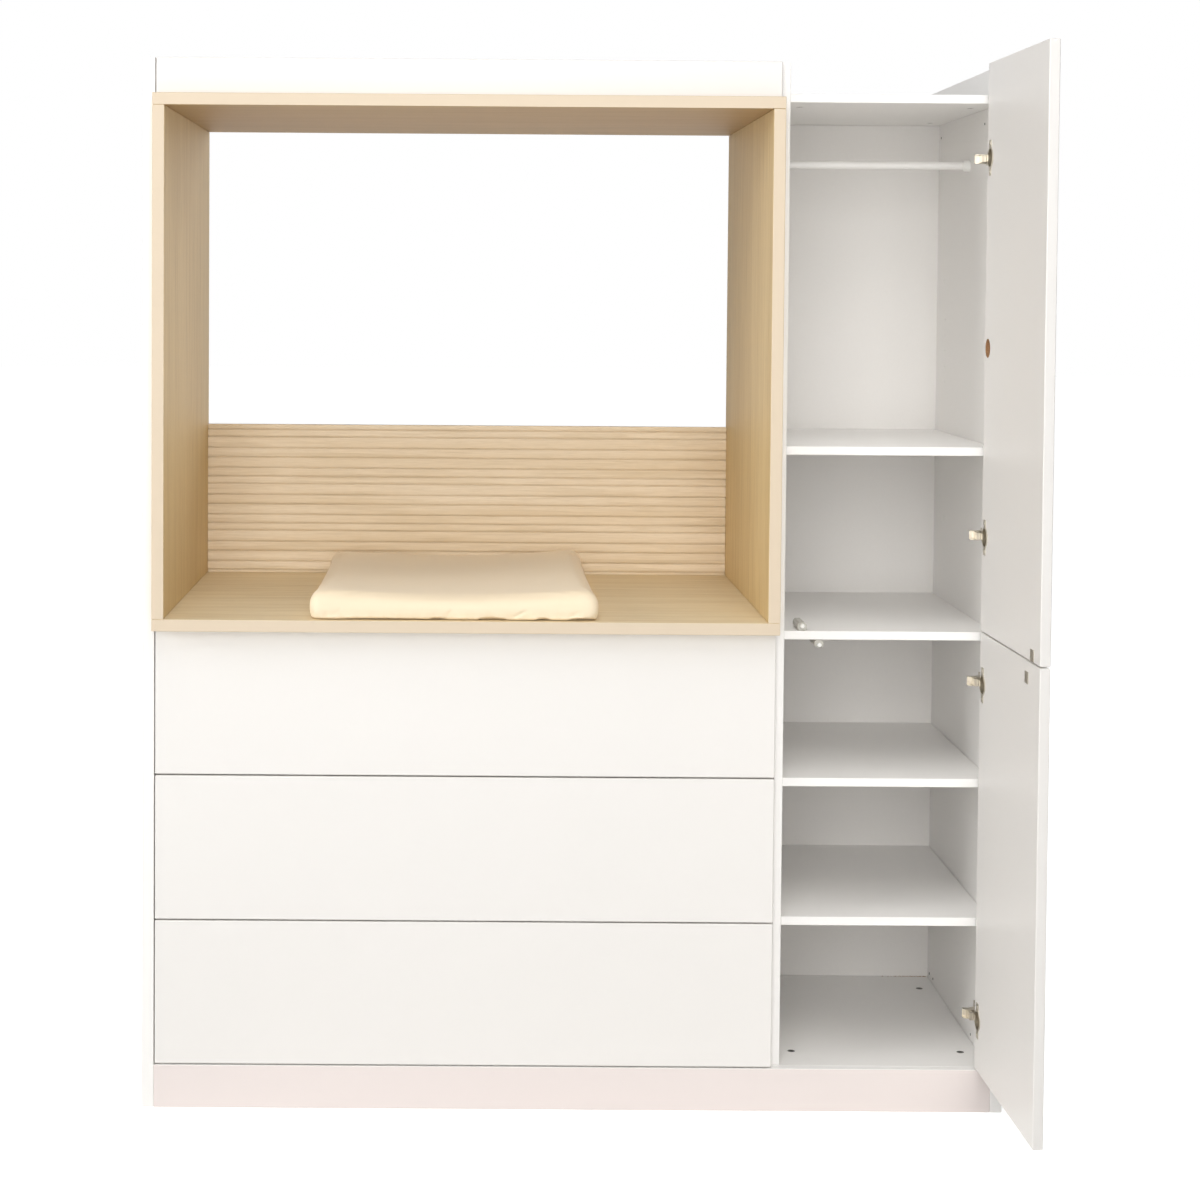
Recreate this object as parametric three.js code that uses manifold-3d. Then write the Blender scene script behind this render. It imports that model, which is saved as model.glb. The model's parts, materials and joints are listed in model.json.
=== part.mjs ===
// A changing dresser. An oak-finish changing niche stands over three drawers, and a wardrobe bay with
// two doors, a clothes rail and four shelves stands beside them.
// Millimetres, +Z up, +X to the right, +Y to the back. The origin is on the floor, at the middle of
// the front plinth's underside. Both doors stand open and the drawers are shut.
import * as THREE from "three";
import { mergeVertices } from "three/addons/utils/BufferGeometryUtils.js";
import Module from "manifold-3d";

const wasm = await Module();
wasm.setup();

// Bays, as clear widths between the boards
const left_bay_width = 1153;
const right_bay_width = 391;

// Depths, from the front plane
const carcass_depth = 666;
const wardrobe_depth = 568;
const niche_overhang = 40;
const divider_setback = 20;
const shelf_setback = 5;

// Holes in the wardrobe's boards: two columns for shelf pins, and the bores of the cam fittings
const column_setbacks = [100, 487];
const top_cam_setbacks = [134, 504];
const pin_hole_pitch = 32;
const pin_hole_radius = 2.5;
const pin_hole_depth = 10;
const pin_hole_count = 5;
const first_pin_hole = 104;
const cam_inset = 34;
const cam_bore_radius = 7.7;
const cam_bore_depth = 12.5;

// Heights
const plinth_height = 80;
const drawer_front_height = 268.5;
const drawer_count = 3;
const niche_clear_height = 940.5;
const fascia_height = 67.7;
const fascia_gap = 0.3;
const top_board_drop = 57;
const slatted_height = 318;

// Board thicknesses
const side_thickness = 22;
const divider_thickness = 16;
const shelf_thickness = 16;
const plinth_thickness = 18;
const niche_thickness = 22;
const front_thickness = 18;
const back_thickness = 4;
const slatted_thickness = 16;

// Fits and edges
const seat_gap = 0.2;
const front_gap = 3;
const front_side_gap = 2;
const board_ease = 0.8;
const front_ease = 1.2;
const groove_depth = 8;
const groove_clearance = 0.3;
const back_inset = 22;
const loose_shelf_gap = 0.6;
const overrun = 1;
const merge_tolerance = 1e-4;

// Clear heights of the wardrobe's compartments, from the bottom board up
const boot_height = 263.5;
const low_height = 245.5;
const middle_height = 259.5;
const high_height = 328.5;

// Slats milled into the niche's back board
const slat_first = 11;
const slat_pitch = 100.2;
const slat_share = [0.155, 0.235, 0.2, 0.225, 0.185];
const slat_repeats = 3;
const slat_groove_width = 2.6;
const slat_groove_depth = 4;
const slat_floor_share = 0.8;

// Clothes rail
const rail_radius = 8;
const rail_setback = 285;
const rail_drop = 100;
const socket_radius = 11;
const socket_length = 13;
const socket_floor = 3;
const socket_clearance = 0.3;

// Doors, hung on the right side panel by concealed hinges
const door_open_angle = 91;
const door_joint_rise = 4.5;
const pivot_inset = 11;
const door_edge_gap = 3;
const upper_hinge_inset = 175;
const lower_hinge_inset = 95;
const cup_radius = 17.5;
const cup_depth = 13;
const cup_edge_distance = 22.5;
const cup_clearance = 0.3;
const cup_wall = 1;
const flange_thickness = 1.2;
const flange_half_height = 32.5;
const flange_half_width = 7;
const flange_collar = 2.2;
const link_half_height = 5.5;
const link_width = 11.5;
const link_thickness = 1.6;
const nose_half_height = 6.5;
const nose_width = 6.5;
const nose_clearance = 0.7;
const nose_link_gap = 0.7;
const arm_sheet = 1.2;
const arm_half_height = 8.5;
const arm_reach = 36;
const arm_setback = 23;
const arm_depth = 12;
const arm_crank_run = 20;
const arm_length = 57;
const arm_corner = 4;
const plate_thickness = 3;
const plate_wing_half_height = 24;
const plate_wing_setback = 46;
const plate_wing_width = 18;
const plate_spine_half_height = 7;
const plate_spine_setback = 34;
const plate_corner = 4;

// Push latches on the fixed shelf, and the strike plates on the doors
const upper_latch_inset = 34;
const lower_latch_inset = 66;
const latch_axis_height = 9.5;
const latch_width = 17;
const latch_height = 15.5;
const latch_length = 62;
const latch_corner = 4;
const latch_setback = 2;
const plunger_radius = 4;
const plunger_clearance = 0.4;
const plunger_length = 40;
const plunger_bore_depth = 50;
const plunger_tip_gap = 0.7;
const plunger_dome = 1.6;
const strike_size = 20;
const strike_thickness = 1;
const strike_hole_radius = 2;

// Drawer boxes and their roller runners
const drawer_box_depth = 500;
const drawer_box_height = 190;
const drawer_side_thickness = 15;
const drawer_back_thickness = 15;
const drawer_bottom_thickness = 6;
const drawer_side_clearance = 13;
const drawer_box_rise = 22;
const bottom_groove_rise = 10;
const bottom_groove_depth = 6.5;
const runner_sheet = 1.2;
const runner_height = 36;
const runner_foot = 9.5;
const runner_top_flange = 8;
const runner_lip = 6;
const runner_setback = 22;
const runner_drop = 8;
const rib_height = 16.4;
const rib_reach = 9.8;
const rib_web_height = 26;
const rib_foot = 9;
const front_roller_radius = 7;
const roller_gap = 0.4;
const roller_inset = 12;
const rear_roller_radius = 8;
const rear_roller_width = 4;
const axle_radius = 3;

// Changing pad. Its skin's rings run from the hem underneath, round the side, to the middle of the
// top: each has a share of the height there and is set in by a share of half of the pad's width.
const pad_width = 534;
const pad_length = 684;
const pad_middle_height = 46;
const pad_ridge_rise = 12;
const pad_offset = -225;
const pad_front_setback = 5;
const pad_waist = 5;
const pad_gap = 0.3;
const pad_corner_radius = 26;
const pad_corner_steps = 4;
const pad_side_steps = 8;
const pad_ring_shares = [
  { height_share: 0, inset_share: 0.06 },
  { height_share: 0.06, inset_share: 0.022 },
  { height_share: 0.26, inset_share: 0.006 },
  { height_share: 0.5, inset_share: 0 },
  { height_share: 0.72, inset_share: 0.012 },
  { height_share: 0.88, inset_share: 0.038 },
  { height_share: 0.97, inset_share: 0.083 },
  { height_share: 1, inset_share: 0.15 },
  { height_share: 1, inset_share: 0.34 },
  { height_share: 1, inset_share: 0.57 },
  { height_share: 1, inset_share: 0.8 },
];

// Places worked out from the sizes above
const overall_width = 2 * side_thickness + left_bay_width + divider_thickness + right_bay_width;
const niche_bottom = plinth_height + drawer_count * (front_gap + drawer_front_height) + front_gap;
const niche_floor_top = niche_bottom + niche_thickness;
const niche_ceiling_bottom = niche_floor_top + niche_clear_height;
const niche_top = niche_ceiling_bottom + niche_thickness;
const overall_height = niche_top + fascia_gap + fascia_height;
const x_left = -overall_width / 2;
const x_left_wall = x_left + side_thickness;
const x_divider_left = x_left_wall + left_bay_width;
const x_divider_right = x_divider_left + divider_thickness;
const x_right_wall = x_divider_right + right_bay_width;
const x_right = x_right_wall + side_thickness;
const y_front = -plinth_thickness / 2;
const y_rear = y_front + carcass_depth;
const y_divider = y_front + divider_setback;
const y_shelf = y_divider + shelf_setback;
const y_niche_front = y_front - niche_overhang;
const y_niche_back = y_rear - slatted_thickness;
const y_wardrobe_back = y_front + wardrobe_depth;
const y_drawer_back = y_rear - back_inset;
const shelf_tops = [boot_height, low_height, middle_height, high_height].reduce(
  (tops, clear) => [...tops, (tops.at(-1) ?? plinth_height) + clear + shelf_thickness],
  [],
);
const fixed_shelf_top = shelf_tops[2];
const top_board_bottom = overall_height - top_board_drop - shelf_thickness;
const door_joint = fixed_shelf_top + door_joint_rise;
const runner_length = drawer_box_depth;

// Finishes seen in the photograph
const white = { color: 0xf1efec, roughness: 0.45, metalness: 0 };
const oak = { color: 0xe6d3ab, roughness: 0.6, metalness: 0 };
const nickel = { color: 0xb9b2a4, roughness: 0.35, metalness: 0.9 };
const coated_steel = { color: 0xe9e8e4, roughness: 0.4, metalness: 0.2 };
const latch_grey = { color: 0xa9a69c, roughness: 0.5, metalness: 0 };
const latch_white = { color: 0xf7f6f2, roughness: 0.4, metalness: 0 };
const hardboard = { color: 0xe4e1dc, roughness: 0.6, metalness: 0 };
const cotton = { color: 0xf3e3bd, roughness: 0.9, metalness: 0 };

const dresser = new THREE.Group();

function place(name, geometry, finish, parent = dresser) {
  const mesh = new THREE.Mesh(geometry, new THREE.MeshStandardMaterial(finish));
  mesh.name = name;
  parent.add(mesh);
  return mesh;
}

// A geometry as a solid that can be cut and joined, and back again
function solid(geometry) {
  const bare = new THREE.BufferGeometry();
  bare.setAttribute("position", geometry.getAttribute("position"));
  bare.setIndex(geometry.getIndex());
  const merged = mergeVertices(bare, merge_tolerance);
  return new wasm.Manifold(
    new wasm.Mesh({
      numProp: 3,
      vertProperties: new Float32Array(merged.getAttribute("position").array),
      triVerts: new Uint32Array(merged.getIndex().array),
    }),
  );
}

function shape_of(body) {
  const mesh = body.getMesh();
  const geometry = new THREE.BufferGeometry();
  geometry.setAttribute("position", new THREE.BufferAttribute(mesh.vertProperties, 3));
  geometry.setIndex(new THREE.BufferAttribute(mesh.triVerts, 1));
  geometry.computeVertexNormals();
  return geometry;
}

function outline(points) {
  return new THREE.Shape(points.map(([a, b]) => new THREE.Vector2(a, b)));
}

// An outline in the plan, extruded up
function along_z(shape, low, high, ease = 0) {
  const geometry = new THREE.ExtrudeGeometry(shape, {
    depth: high - low - 2 * ease,
    bevelEnabled: ease > 0,
    bevelThickness: ease,
    bevelSize: ease,
    bevelOffset: -ease,
    bevelSegments: 1,
    curveSegments: 10,
  });
  return geometry.translate(0, 0, low + ease);
}

// An outline in y and z, extruded to the right
function along_x(shape, low, high, ease = 0) {
  const turn = new THREE.Matrix4().makeBasis(
    new THREE.Vector3(0, 1, 0),
    new THREE.Vector3(0, 0, 1),
    new THREE.Vector3(1, 0, 0),
  );
  return along_z(shape, low, high, ease).applyMatrix4(turn);
}

// An outline in x and z, extruded to the back
function along_y(shape, low, high, ease = 0) {
  const turn = new THREE.Matrix4().makeBasis(
    new THREE.Vector3(1, 0, 0),
    new THREE.Vector3(0, 0, 1),
    new THREE.Vector3(0, -1, 0),
  );
  return along_z(shape, -high, -low, ease).applyMatrix4(turn);
}

// A rectangle with its corners cut off by the ease
function eased_rectangle(a_low, a_high, b_low, b_high, ease) {
  return outline([
    [a_low + ease, b_low],
    [a_high - ease, b_low],
    [a_high, b_low + ease],
    [a_high, b_high - ease],
    [a_high - ease, b_high],
    [a_low + ease, b_high],
    [a_low, b_high - ease],
    [a_low, b_low + ease],
  ]);
}

// A board between two corners, with all of its edges eased
function board([x0, y0, z0], [x1, y1, z1], ease = board_ease) {
  return along_z(eased_rectangle(x0, x1, y0, y1, ease), z0, z1, ease);
}

function cylinder_along_z(radius, length, sides = 20) {
  return new THREE.CylinderGeometry(radius, radius, length, sides).rotateX(Math.PI / 2);
}

function cylinder_along_y(radius, length, sides = 24) {
  return new THREE.CylinderGeometry(radius, radius, length, sides);
}

function cylinder_along_x(radius, length, sides = 24) {
  return new THREE.CylinderGeometry(radius, radius, length, sides).rotateZ(-Math.PI / 2);
}

// A tall panel in plan, with a groove for a back panel cut into each face that is asked for
function grooved_panel(x0, x1, y0, y1, left_groove, right_groove) {
  const half = back_thickness / 2 + groove_clearance;
  const points = [
    [x0 + board_ease, y0],
    [x1 - board_ease, y0],
    [x1, y0 + board_ease],
  ];
  if (right_groove !== null) {
    points.push([x1, right_groove - half], [x1 - groove_depth, right_groove - half]);
    points.push([x1 - groove_depth, right_groove + half], [x1, right_groove + half]);
  }
  points.push([x1, y1 - board_ease], [x1 - board_ease, y1]);
  points.push([x0 + board_ease, y1], [x0, y1 - board_ease]);
  if (left_groove !== null) {
    points.push([x0, left_groove + half], [x0 + groove_depth, left_groove + half]);
    points.push([x0 + groove_depth, left_groove - half], [x0, left_groove - half]);
  }
  points.push([x0, y0 + board_ease]);
  return outline(points);
}

// A column of blind holes for shelf pins at each setback, in a wall's face towards the wardrobe.
// side is 1 where the wall lies to the right of that face, and -1 where it lies to the left.
function with_pin_holes(panel, face, side) {
  const low = shelf_tops[3] + first_pin_hole;
  const length = pin_hole_depth + overrun;
  let body = solid(panel);
  for (const setback of column_setbacks) {
    for (let row = 0; row < pin_hole_count; row += 1) {
      const hole = cylinder_along_x(pin_hole_radius, length, 10).translate(
        face + side * (pin_hole_depth - length / 2),
        y_front + setback,
        low + row * pin_hole_pitch,
      );
      body = body.subtract(solid(hole));
    }
  }
  return shape_of(body);
}

// The four bores of a wardrobe board's cam fittings. side is 1 where they open upwards.
function with_cam_bores(geometry, face, side, setbacks) {
  const length = cam_bore_depth + overrun;
  let body = solid(geometry);
  for (const x of [x_divider_right + cam_inset, x_right_wall - cam_inset]) {
    for (const setback of setbacks) {
      const bore = cylinder_along_z(cam_bore_radius, length).translate(
        x,
        y_front + setback,
        face - side * (cam_bore_depth - length / 2),
      );
      body = body.subtract(solid(bore));
    }
  }
  return shape_of(body);
}

// The side panels stand on the floor, and the divider stands on the bottom board
function make_upright_panels() {
  const drawer_groove = y_drawer_back + back_thickness / 2;
  const wardrobe_groove = y_wardrobe_back + back_thickness / 2;
  const left = grooved_panel(x_left, x_left_wall, y_front, y_rear, null, drawer_groove);
  const right = grooved_panel(x_right_wall, x_right, y_front, y_rear, wardrobe_groove, null);
  const divider = grooved_panel(
    x_divider_left,
    x_divider_right,
    y_divider,
    y_rear,
    drawer_groove,
    wardrobe_groove,
  );
  const left_panel = along_z(left, 0, overall_height, board_ease);
  const right_panel = along_z(right, 0, overall_height, board_ease);
  const divider_panel = along_z(divider, plinth_height + seat_gap, overall_height, board_ease);
  place("left_side_panel", left_panel, white);
  place("right_side_panel", with_pin_holes(right_panel, x_right_wall, 1), white);
  place("divider_panel", with_pin_holes(divider_panel, x_divider_right, -1), white);
}

// The bottom board lies on a rear plinth, behind the front one, and runs under both bays
function make_base() {
  const low = x_left_wall + seat_gap;
  const high = x_right_wall - seat_gap;
  const board_bottom = plinth_height - shelf_thickness;
  place(
    "plinth_front",
    board([low, y_front, 0], [high, y_front + plinth_thickness, plinth_height]),
    white,
  );
  const bottom_board = board(
    [low, y_front + plinth_thickness + seat_gap, board_bottom],
    [high, y_rear, plinth_height],
  );
  place("bottom_board", with_cam_bores(bottom_board, plinth_height, 1, column_setbacks), white);
  place(
    "plinth_rear",
    board(
      [low, y_drawer_back - plinth_thickness, 0],
      [high, y_drawer_back, board_bottom - seat_gap],
    ),
    white,
  );
}

// Thin back panels in the uprights' grooves, the board over the wardrobe, and the fascia in front of
// the space over the niche
function make_backs_and_top() {
  const reach = groove_depth - groove_clearance;
  place(
    "back_panel_drawers",
    board(
      [x_left_wall - reach, y_drawer_back, plinth_height + seat_gap],
      [x_divider_left + reach, y_drawer_back + back_thickness, niche_bottom - seat_gap],
    ),
    hardboard,
  );
  place(
    "back_panel_wardrobe",
    board(
      [x_divider_right - reach, y_wardrobe_back, plinth_height + seat_gap],
      [x_right_wall + reach, y_wardrobe_back + back_thickness, top_board_bottom - seat_gap],
    ),
    hardboard,
  );
  const top_board = board(
    [x_divider_right + seat_gap, y_shelf, top_board_bottom],
    [x_right_wall - seat_gap, y_rear, top_board_bottom + shelf_thickness],
  );
  place("top_board_right", with_cam_bores(top_board, top_board_bottom, -1, top_cam_setbacks), white);
  place(
    "top_fascia",
    board(
      [x_left_wall + front_side_gap, y_front, overall_height - fascia_height],
      [x_divider_left - front_side_gap, y_front + front_thickness, overall_height],
      front_ease,
    ),
    white,
  );
}

// The niche is a box of thick boards: its floor and ceiling run over the walls' ends
function make_niche() {
  const low = x_left_wall + seat_gap;
  const high = x_divider_left - seat_gap;
  place("niche_floor", board([low, y_niche_front, niche_bottom], [high, y_rear, niche_floor_top]), oak);
  place("niche_ceiling", board([low, y_niche_front, niche_ceiling_bottom], [high, y_rear, niche_top]), oak);
  const wall_low = niche_floor_top + seat_gap;
  const wall_high = niche_ceiling_bottom - seat_gap;
  place(
    "niche_left_wall",
    board([low, y_niche_front, wall_low], [low + niche_thickness, y_rear, wall_high]),
    oak,
  );
  place(
    "niche_right_wall",
    board([high - niche_thickness, y_niche_front, wall_low], [high, y_rear, wall_high]),
    oak,
  );
  const slatted_low = low + niche_thickness + seat_gap;
  const slatted_high = high - niche_thickness - seat_gap;
  place(
    "niche_slatted_panel",
    along_x(slatted_outline(), slatted_low, slatted_high, board_ease),
    oak,
  );
}

// The slatted board's outline from the side: slats of five widths, parted by milled grooves
function slatted_outline() {
  const top = niche_floor_top + slatted_height;
  const bottom = niche_floor_top + seat_gap;
  const points = [
    [y_niche_back + board_ease, top],
    [y_niche_back, top - board_ease],
  ];
  let z = top - slat_first;
  const mouth = slat_groove_width / 2;
  const floor = mouth * slat_floor_share;
  const cut = (at) => {
    points.push([y_niche_back, at + mouth], [y_niche_back + slat_groove_depth, at + floor]);
    points.push([y_niche_back + slat_groove_depth, at - floor], [y_niche_back, at - mouth]);
  };
  cut(z);
  for (let repeat = 0; repeat < slat_repeats; repeat += 1) {
    for (const share of slat_share) {
      z -= slat_pitch * share;
      if (z - slat_groove_width > bottom + board_ease) cut(z);
    }
  }
  points.push(
    [y_niche_back, bottom + board_ease],
    [y_niche_back + board_ease, bottom],
    [y_rear - board_ease, bottom],
    [y_rear, bottom + board_ease],
    [y_rear, top - board_ease],
    [y_rear - board_ease, top],
  );
  return outline(points);
}

// The wardrobe's shelves: the third from the floor is fixed and carries the latches
function make_shelves() {
  shelf_tops.forEach((top, index) => {
    const fixed = top === fixed_shelf_top;
    const gap = fixed ? seat_gap : loose_shelf_gap;
    const bottom = top - shelf_thickness;
    const shelf = board(
      [x_divider_right + gap, y_shelf, bottom],
      [x_right_wall - gap, y_wardrobe_back - gap, top],
    );
    const drilled = fixed ? with_cam_bores(shelf, bottom, -1, column_setbacks) : shelf;
    place("shelf_" + (index + 1), drilled, white);
  });
}

// The rail runs between two cupped sockets
function make_rail() {
  const z = top_board_bottom - rail_drop;
  const y = y_front + rail_setback;
  const low = x_divider_right + seat_gap;
  const high = x_right_wall - seat_gap;
  const rail_low = low + socket_floor + socket_clearance;
  const rail_high = high - socket_floor - socket_clearance;
  const rail = cylinder_along_x(rail_radius, rail_high - rail_low);
  place("clothes_rail", rail.translate((rail_low + rail_high) / 2, y, z), coated_steel);

  const bore = rail_radius + socket_clearance;
  const profile = [
    [0, 0],
    [socket_radius, 0],
    [socket_radius, socket_length - board_ease],
    [socket_radius - board_ease, socket_length],
    [bore, socket_length],
    [bore, socket_floor],
    [0, socket_floor],
  ].map(([r, h]) => new THREE.Vector2(r, h));
  const left = new THREE.LatheGeometry(profile, 24).rotateZ(-Math.PI / 2);
  const right = new THREE.LatheGeometry(profile, 24).rotateZ(Math.PI / 2);
  place("rail_socket_left", left.translate(low, y, z), latch_white);
  place("rail_socket_right", right.translate(high, y, z), latch_white);
}

// A push latch lies along y, on the shelf or turned over under it
function latch_housing(x, z_axis, turned) {
  const side = turned ? -1 : 1;
  const far = z_axis + side * (latch_height - latch_axis_height);
  const near = z_axis - side * (latch_axis_height - seat_gap);
  const low = Math.min(far, near);
  const high = Math.max(far, near);
  const half = latch_width / 2;
  const front = y_shelf + latch_setback;
  const body = solid(
    along_y(
      eased_rectangle(x - half, x + half, low, high, latch_corner),
      front,
      front + latch_length,
      board_ease,
    ),
  );
  const bore = cylinder_along_y(plunger_radius + plunger_clearance, plunger_bore_depth + overrun);
  bore.translate(x, front + (plunger_bore_depth - overrun) / 2, z_axis);
  return shape_of(body.subtract(solid(bore)));
}

function latch_plunger(x, z_axis) {
  const profile = [
    [0, 0],
    [plunger_radius - plunger_dome, 0],
    [plunger_radius, plunger_dome],
    [plunger_radius, plunger_length],
    [0, plunger_length],
  ].map(([r, h]) => new THREE.Vector2(r, h));
  const tip = y_front + front_thickness + seat_gap + strike_thickness + plunger_tip_gap;
  return new THREE.LatheGeometry(profile, 24).translate(x, tip, z_axis);
}

const latches = {
  upper: {
    x: x_divider_right + upper_latch_inset,
    z: fixed_shelf_top + latch_axis_height,
    turned: false,
  },
  lower: {
    x: x_divider_right + lower_latch_inset,
    z: fixed_shelf_top - shelf_thickness - latch_axis_height,
    turned: true,
  },
};

function make_latches() {
  for (const [name, latch] of Object.entries(latches)) {
    place(name + "_latch_housing", latch_housing(latch.x, latch.z, latch.turned), latch_grey);
    place(name + "_latch_plunger", latch_plunger(latch.x, latch.z), latch_white);
  }
}

// A door is built shut, with its pivot at the group's origin, and the group turns it open.
// The pivot is the line that the hinges' links turn the door about: in the front face's plane,
// a little off the side panel.
const x_pivot = x_right_wall - pivot_inset;
const door_right = pivot_inset - door_edge_gap;
const door_left = x_divider_left - front_side_gap + front_gap - x_pivot;
const cup_x = door_right - cup_edge_distance;

function cup_bore(z) {
  const bore = cylinder_along_y(cup_radius, cup_depth + overrun, 36);
  return bore.translate(cup_x, front_thickness - cup_depth / 2 + overrun / 2, z);
}

function door_panel(bottom, top, bores) {
  let body = solid(board([door_left, 0, bottom], [door_right, front_thickness, top], front_ease));
  for (const z of bores) body = body.subtract(solid(cup_bore(z)));
  return shape_of(body);
}

// The hinge cup: a turned cup in the bore, a winged flange on the door's inner face, and the link's
// end, which reaches the arm when the door stands open
function hinge_cup(z) {
  const outer = cup_radius - cup_clearance;
  const inner = outer - cup_wall;
  const floor = front_thickness - cup_depth + cup_clearance;
  const face = front_thickness + seat_gap;
  const profile = [
    [0, floor],
    [outer, floor],
    [outer, face + flange_thickness / 2],
    [inner, face + flange_thickness / 2],
    [inner, floor + cup_wall],
    [0, floor + cup_wall],
  ].map(([r, h]) => new THREE.Vector2(r, h));
  const cup = new THREE.LatheGeometry(profile, 36).translate(cup_x, 0, z);

  const rim = cup_radius + flange_collar;
  const flange_outline = outline([
    [cup_x - flange_half_width, z - flange_half_height],
    [cup_x + flange_half_width, z - flange_half_height],
    [cup_x + flange_half_width, z - rim],
    [cup_x + rim, z - flange_half_width],
    [cup_x + rim, z + flange_half_width],
    [cup_x + flange_half_width, z + rim],
    [cup_x + flange_half_width, z + flange_half_height],
    [cup_x - flange_half_width, z + flange_half_height],
    [cup_x - flange_half_width, z + rim],
    [cup_x - rim, z + flange_half_width],
    [cup_x - rim, z - flange_half_width],
    [cup_x - flange_half_width, z - rim],
  ]);
  const flange = solid(along_y(flange_outline, face, face + flange_thickness));
  const mouth = cylinder_along_y(inner, front_thickness, 36).translate(cup_x, front_thickness, z);
  const link_high = door_right - front_ease;
  const link = board(
    [link_high - link_width, face + flange_thickness / 2, z - link_half_height],
    [link_high, face + flange_thickness / 2 + link_thickness, z + link_half_height],
    0,
  );
  return shape_of(flange.subtract(solid(mouth)).add(solid(cup)).add(solid(link)));
}

function strike_plate(x, z) {
  const half = strike_size / 2;
  const face = front_thickness + seat_gap;
  const plate = outline([
    [x - half, z - half],
    [x + half, z - half],
    [x + half, z + half],
    [x - half, z + half],
  ]);
  plate.holes.push(new THREE.Path().absarc(x, z, strike_hole_radius, 0, 2 * Math.PI, true));
  return along_y(plate, face, face + strike_thickness);
}

// The hinge arm in the pivot's frame: a mounting plate with two wings on the side panel, a cranked
// channel that is open towards the door, and the nose in it that enters the cup when the door shuts
function hinge_arm(z) {
  const nose_front = front_thickness - cup_depth + cup_clearance + cup_wall + nose_clearance;
  const link_reach = Math.hypot(
    door_right - front_ease,
    front_thickness + seat_gap + flange_thickness / 2 + link_thickness,
  );
  const nose_high = -Math.sqrt((link_reach + nose_link_gap) ** 2 - nose_front ** 2);
  const wall = pivot_inset - seat_gap;
  const rear = arm_setback + arm_depth;
  const end = arm_setback + arm_length;
  const tail_high = wall - plate_thickness / 2;
  const tail_low = wall - plate_thickness - arm_depth;

  const cheek = outline([
    [-arm_reach, rear],
    [-arm_reach, arm_setback + arm_corner],
    [-arm_reach + arm_corner, arm_setback],
    [tail_high - arm_crank_run, arm_setback],
    [tail_high, rear],
    [tail_high, end],
    [tail_low, end],
    [tail_low, rear + arm_depth],
    [tail_low - arm_crank_run, rear],
  ]);
  const web = outline([
    [-arm_reach, rear],
    [-arm_reach, rear - arm_sheet],
    [tail_low - arm_crank_run, rear - arm_sheet],
    [tail_low + arm_sheet, rear + arm_depth - arm_sheet],
    [tail_low + arm_sheet, end],
    [tail_low, end],
    [tail_low, rear + arm_depth],
    [tail_low - arm_crank_run, rear],
  ]);
  const nose = outline([
    [nose_high - nose_width, nose_front],
    [nose_high, nose_front],
    [nose_high, rear - arm_sheet / 2],
    [nose_high - nose_width, rear - arm_sheet / 2],
  ]);
  const wings = eased_rectangle(
    plate_wing_setback,
    plate_wing_setback + plate_wing_width,
    z - plate_wing_half_height,
    z + plate_wing_half_height,
    plate_corner,
  );
  const spine = eased_rectangle(
    plate_spine_setback,
    end,
    z - plate_spine_half_height,
    z + plate_spine_half_height,
    plate_corner,
  );
  const pieces = [
    along_z(cheek, z + arm_half_height - arm_sheet, z + arm_half_height),
    along_z(cheek, z - arm_half_height, z - arm_half_height + arm_sheet),
    along_z(web, z - arm_half_height, z + arm_half_height),
    along_z(nose, z - nose_half_height, z + nose_half_height),
    along_x(wings, wall - plate_thickness, wall),
    along_x(spine, wall - plate_thickness, wall),
  ];
  return shape_of(pieces.map(solid).reduce((whole, piece) => whole.add(piece)));
}

function make_door(name, bottom, top, hinge_inset, spare_bore, latch) {
  const hinges = { top: top - hinge_inset, bottom: bottom + hinge_inset };
  const door = new THREE.Group();
  door.position.set(x_pivot, y_front, 0);
  door.rotation.z = THREE.MathUtils.degToRad(door_open_angle);
  dresser.add(door);

  const bores = Object.values(hinges);
  if (spare_bore) bores.push((bottom + top) / 2);
  place(name + "_door_panel", door_panel(bottom, top, bores), white, door);
  place(name + "_door_strike_plate", strike_plate(latch.x - x_pivot, latch.strike_z), nickel, door);

  const arms = new THREE.Group();
  arms.position.set(x_pivot, y_front, 0);
  dresser.add(arms);
  for (const [end, z] of Object.entries(hinges)) {
    place(name + "_door_" + end + "_hinge_cup", hinge_cup(z), nickel, door);
    place(name + "_door_" + end + "_hinge_arm", hinge_arm(z), nickel, arms);
  }
}

function make_doors() {
  const upper_bottom = door_joint + front_gap / 2;
  const lower_top = door_joint - front_gap / 2;
  const half_strike = strike_size / 2;
  make_door("upper", upper_bottom, overall_height, upper_hinge_inset, true, {
    x: latches.upper.x,
    strike_z: upper_bottom + front_ease + half_strike,
  });
  make_door("lower", plinth_height + front_gap, lower_top, lower_hinge_inset, false, {
    x: latches.lower.x,
    strike_z: latches.lower.z,
  });
}

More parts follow.
